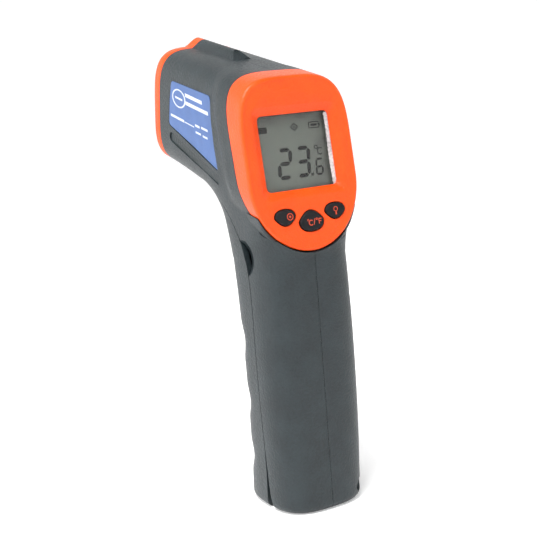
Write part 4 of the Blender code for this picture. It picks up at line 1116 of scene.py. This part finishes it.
# ---- materials of the parts inside
board_look = Look("board_green_mask", 0.38)
tracks = board_look.noise(1.6, 1.0, 0.5, (1, 6, 1))
solder = board_look.noise(0.9, 2.0)
mask = board_look.ramp(tracks, ((0.46, (0.012, 0.075, 0.030)), (0.52, (0.020, 0.115, 0.045))))
board_look.colour(board_look.mix(board_look.spread(solder, 0.0, 0.3, 0.6, 0.75), mask,
                                 (0.35, 0.36, 0.34)))
board_look.roughness(board_look.spread(solder, 0.3, 0.45))
board_look.bump(tracks, 0.03)
guide_look = moulded("light_guide_milky", (0.70, 0.70, 0.64), 0.35, 1.2, 0.01, 0.06)
rubber_look = moulded("zebra_elastomer", (0.22, 0.22, 0.24), 0.6, 0.25, 0.03, 0.3)
battery_look = moulded("battery_jacket", (0.055, 0.058, 0.065), 0.32, 2.5, 0.02, 0.25)
lead_looks = {name: moulded("lead_insulation_" + name, colour, roughness, 0.8, 0.02)
              for name, colour, roughness in (("red", (0.42, 0.012, 0.012), 0.4),
                                              ("black", (0.014, 0.014, 0.015), 0.42),
                                              ("grey", (0.26, 0.26, 0.27), 0.45))}

# The CAD's own meshes are shown inside: look and nodes under each material slot of the record.
INSIDE = {
    "board_green": (board_look.material, ("main_board", "sensor_board", "trigger_board")),
    "component_black": (black_look, ("microcontroller", "buzzer", "battery_snap",
                                     "trigger_switch")),
    "light_guide": (guide_look, ("lcd_backlight",)),
    "elastomer": (rubber_look, ("zebra_connector",)),
    "battery_case": (battery_look, ("battery_9v",)),
    "steel": (steel_look, ("door_hinge_pin", "trigger_pin", "trigger_spring", "sensor_can",
                           "key_switch_left", "key_switch_centre", "key_switch_right")),
    "brass": (brass_look, ("laser_module",)),
    "lead_red": (lead_looks["red"], ("battery_lead_red", "laser_lead")),
    "lead_black": (lead_looks["black"], ("battery_lead_black",)),
    "lead_grey": (lead_looks["grey"], ("sensor_lead",)),
}
for look, nodes in INSIDE.values():
    for node in nodes:
        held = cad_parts[node]
        held.data.materials.clear()
        held.data.materials.append(look)

for used in (outer, inner):
    bpy.data.objects.remove(used, do_unlink=True)


# ---- camera, floor and light
# From here on, lengths are in metres.
CAMERA_PLACE = (-0.1893, -0.3298, 0.1572)
CAMERA_AZIMUTH, CAMERA_ELEVATION = math.radians(-28.79), math.radians(10.65)
CAMERA_ROLL = math.radians(-4.67)
FOCAL_MM, SENSOR_MM = 72.2, 36.0
DISH_FLOOR, DISH_CURVE, DISH_TOP = 1.5, 0.9, 3.2
DISH_SIDES, DISH_CURVE_STEPS = 96, 24
PAPER_GLOW, WORLD_GLOW = 0.27, 0.12
LIGHT_TARGET = (0.0, 0.0, 0.09)
# Each area light: name, place, its two sides, watts.
LIGHTS = (("soft_top", (-0.30, -0.20, 0.90), (0.35, 0.35), 9.5),
          ("soft_left", (-0.95, 0.05, 0.45), (0.35, 0.8), 4.2),
          ("soft_front", (0.25, -1.2, 0.45), (0.7, 0.7), 0.5),
          ("back_left", (-0.70, 0.85, 0.30), (0.4, 0.7), 1.5))


def aimed(direction):
    """A turn that points the -Z of a camera or a light along a direction."""
    return direction.to_track_quat("-Z", "Y").to_matrix().to_4x4()


camera_data = bpy.data.cameras.new("camera")
camera_data.lens = FOCAL_MM
camera_data.sensor_width = SENSOR_MM
camera_data.clip_start = 0.01
camera = new_object("camera", camera_data)
forward = Vector((-math.sin(CAMERA_AZIMUTH) * math.cos(CAMERA_ELEVATION),
                  math.cos(CAMERA_AZIMUTH) * math.cos(CAMERA_ELEVATION),
                  -math.sin(CAMERA_ELEVATION)))
camera.matrix_world = (Matrix.Translation(CAMERA_PLACE) @ aimed(forward)
                       @ Matrix.Rotation(CAMERA_ROLL, 4, "Z"))
bpy.context.scene.camera = camera


def dish():
    """An open white dish that lies under the object and curves up all round it."""
    profile = [(0.02, 0.0), (0.35, 0.0), (DISH_FLOOR, 0.0)]
    profile += [(DISH_FLOOR + DISH_CURVE * math.sin(a), DISH_CURVE * (1.0 - math.cos(a)))
                for a in (math.pi / 2 * i / DISH_CURVE_STEPS
                          for i in range(1, DISH_CURVE_STEPS + 1))]
    profile.append((DISH_FLOOR + DISH_CURVE, DISH_TOP))
    work = bmesh.new()
    circles = [[work.verts.new((radius * math.cos(a), radius * math.sin(a), z))
                for a in (2 * math.pi * i / DISH_SIDES for i in range(DISH_SIDES))]
               for radius, z in profile]
    work.faces.new(circles[0])
    for low, high in zip(circles, circles[1:]):
        for i in range(DISH_SIDES):
            k = (i + 1) % DISH_SIDES
            work.faces.new((low[i], high[i], high[k], low[k]))
    mesh = bpy.data.meshes.new("studio_dish")
    work.to_mesh(mesh)
    work.free()
    return new_object("studio_dish", mesh)


studio = dish()
paper = Look("paper_white", 0.9, specular=0.1)
fibre = paper.noise(4.0, 3.0)
paper.colour(paper.ramp(fibre, ((0.3, (0.93, 0.93, 0.93)), (0.7, (0.96, 0.96, 0.96)))))
paper.shader.inputs["Emission Color"].default_value = (1.0, 1.0, 1.0, 1.0)
paper.shader.inputs["Emission Strength"].default_value = PAPER_GLOW
studio.data.materials.append(paper.material)
studio.data.shade_smooth()

for name, place, sides, watts in LIGHTS:
    lamp = bpy.data.lights.new(name, "AREA")
    lamp.shape = "RECTANGLE"
    lamp.size, lamp.size_y = sides
    lamp.energy = watts
    direction = Vector(LIGHT_TARGET) - Vector(place)
    new_object(name, lamp).matrix_world = Matrix.Translation(place) @ aimed(direction)

world = bpy.data.worlds.new("studio_world")
world.use_nodes = True
background = world.node_tree.nodes["Background"]
background.inputs["Color"].default_value = (1.0, 1.0, 1.0, 1.0)
background.inputs["Strength"].default_value = WORLD_GLOW
bpy.context.scene.world = world
bpy.context.scene.view_settings.view_transform = "Standard"
bpy.context.scene.view_settings.look = "None"
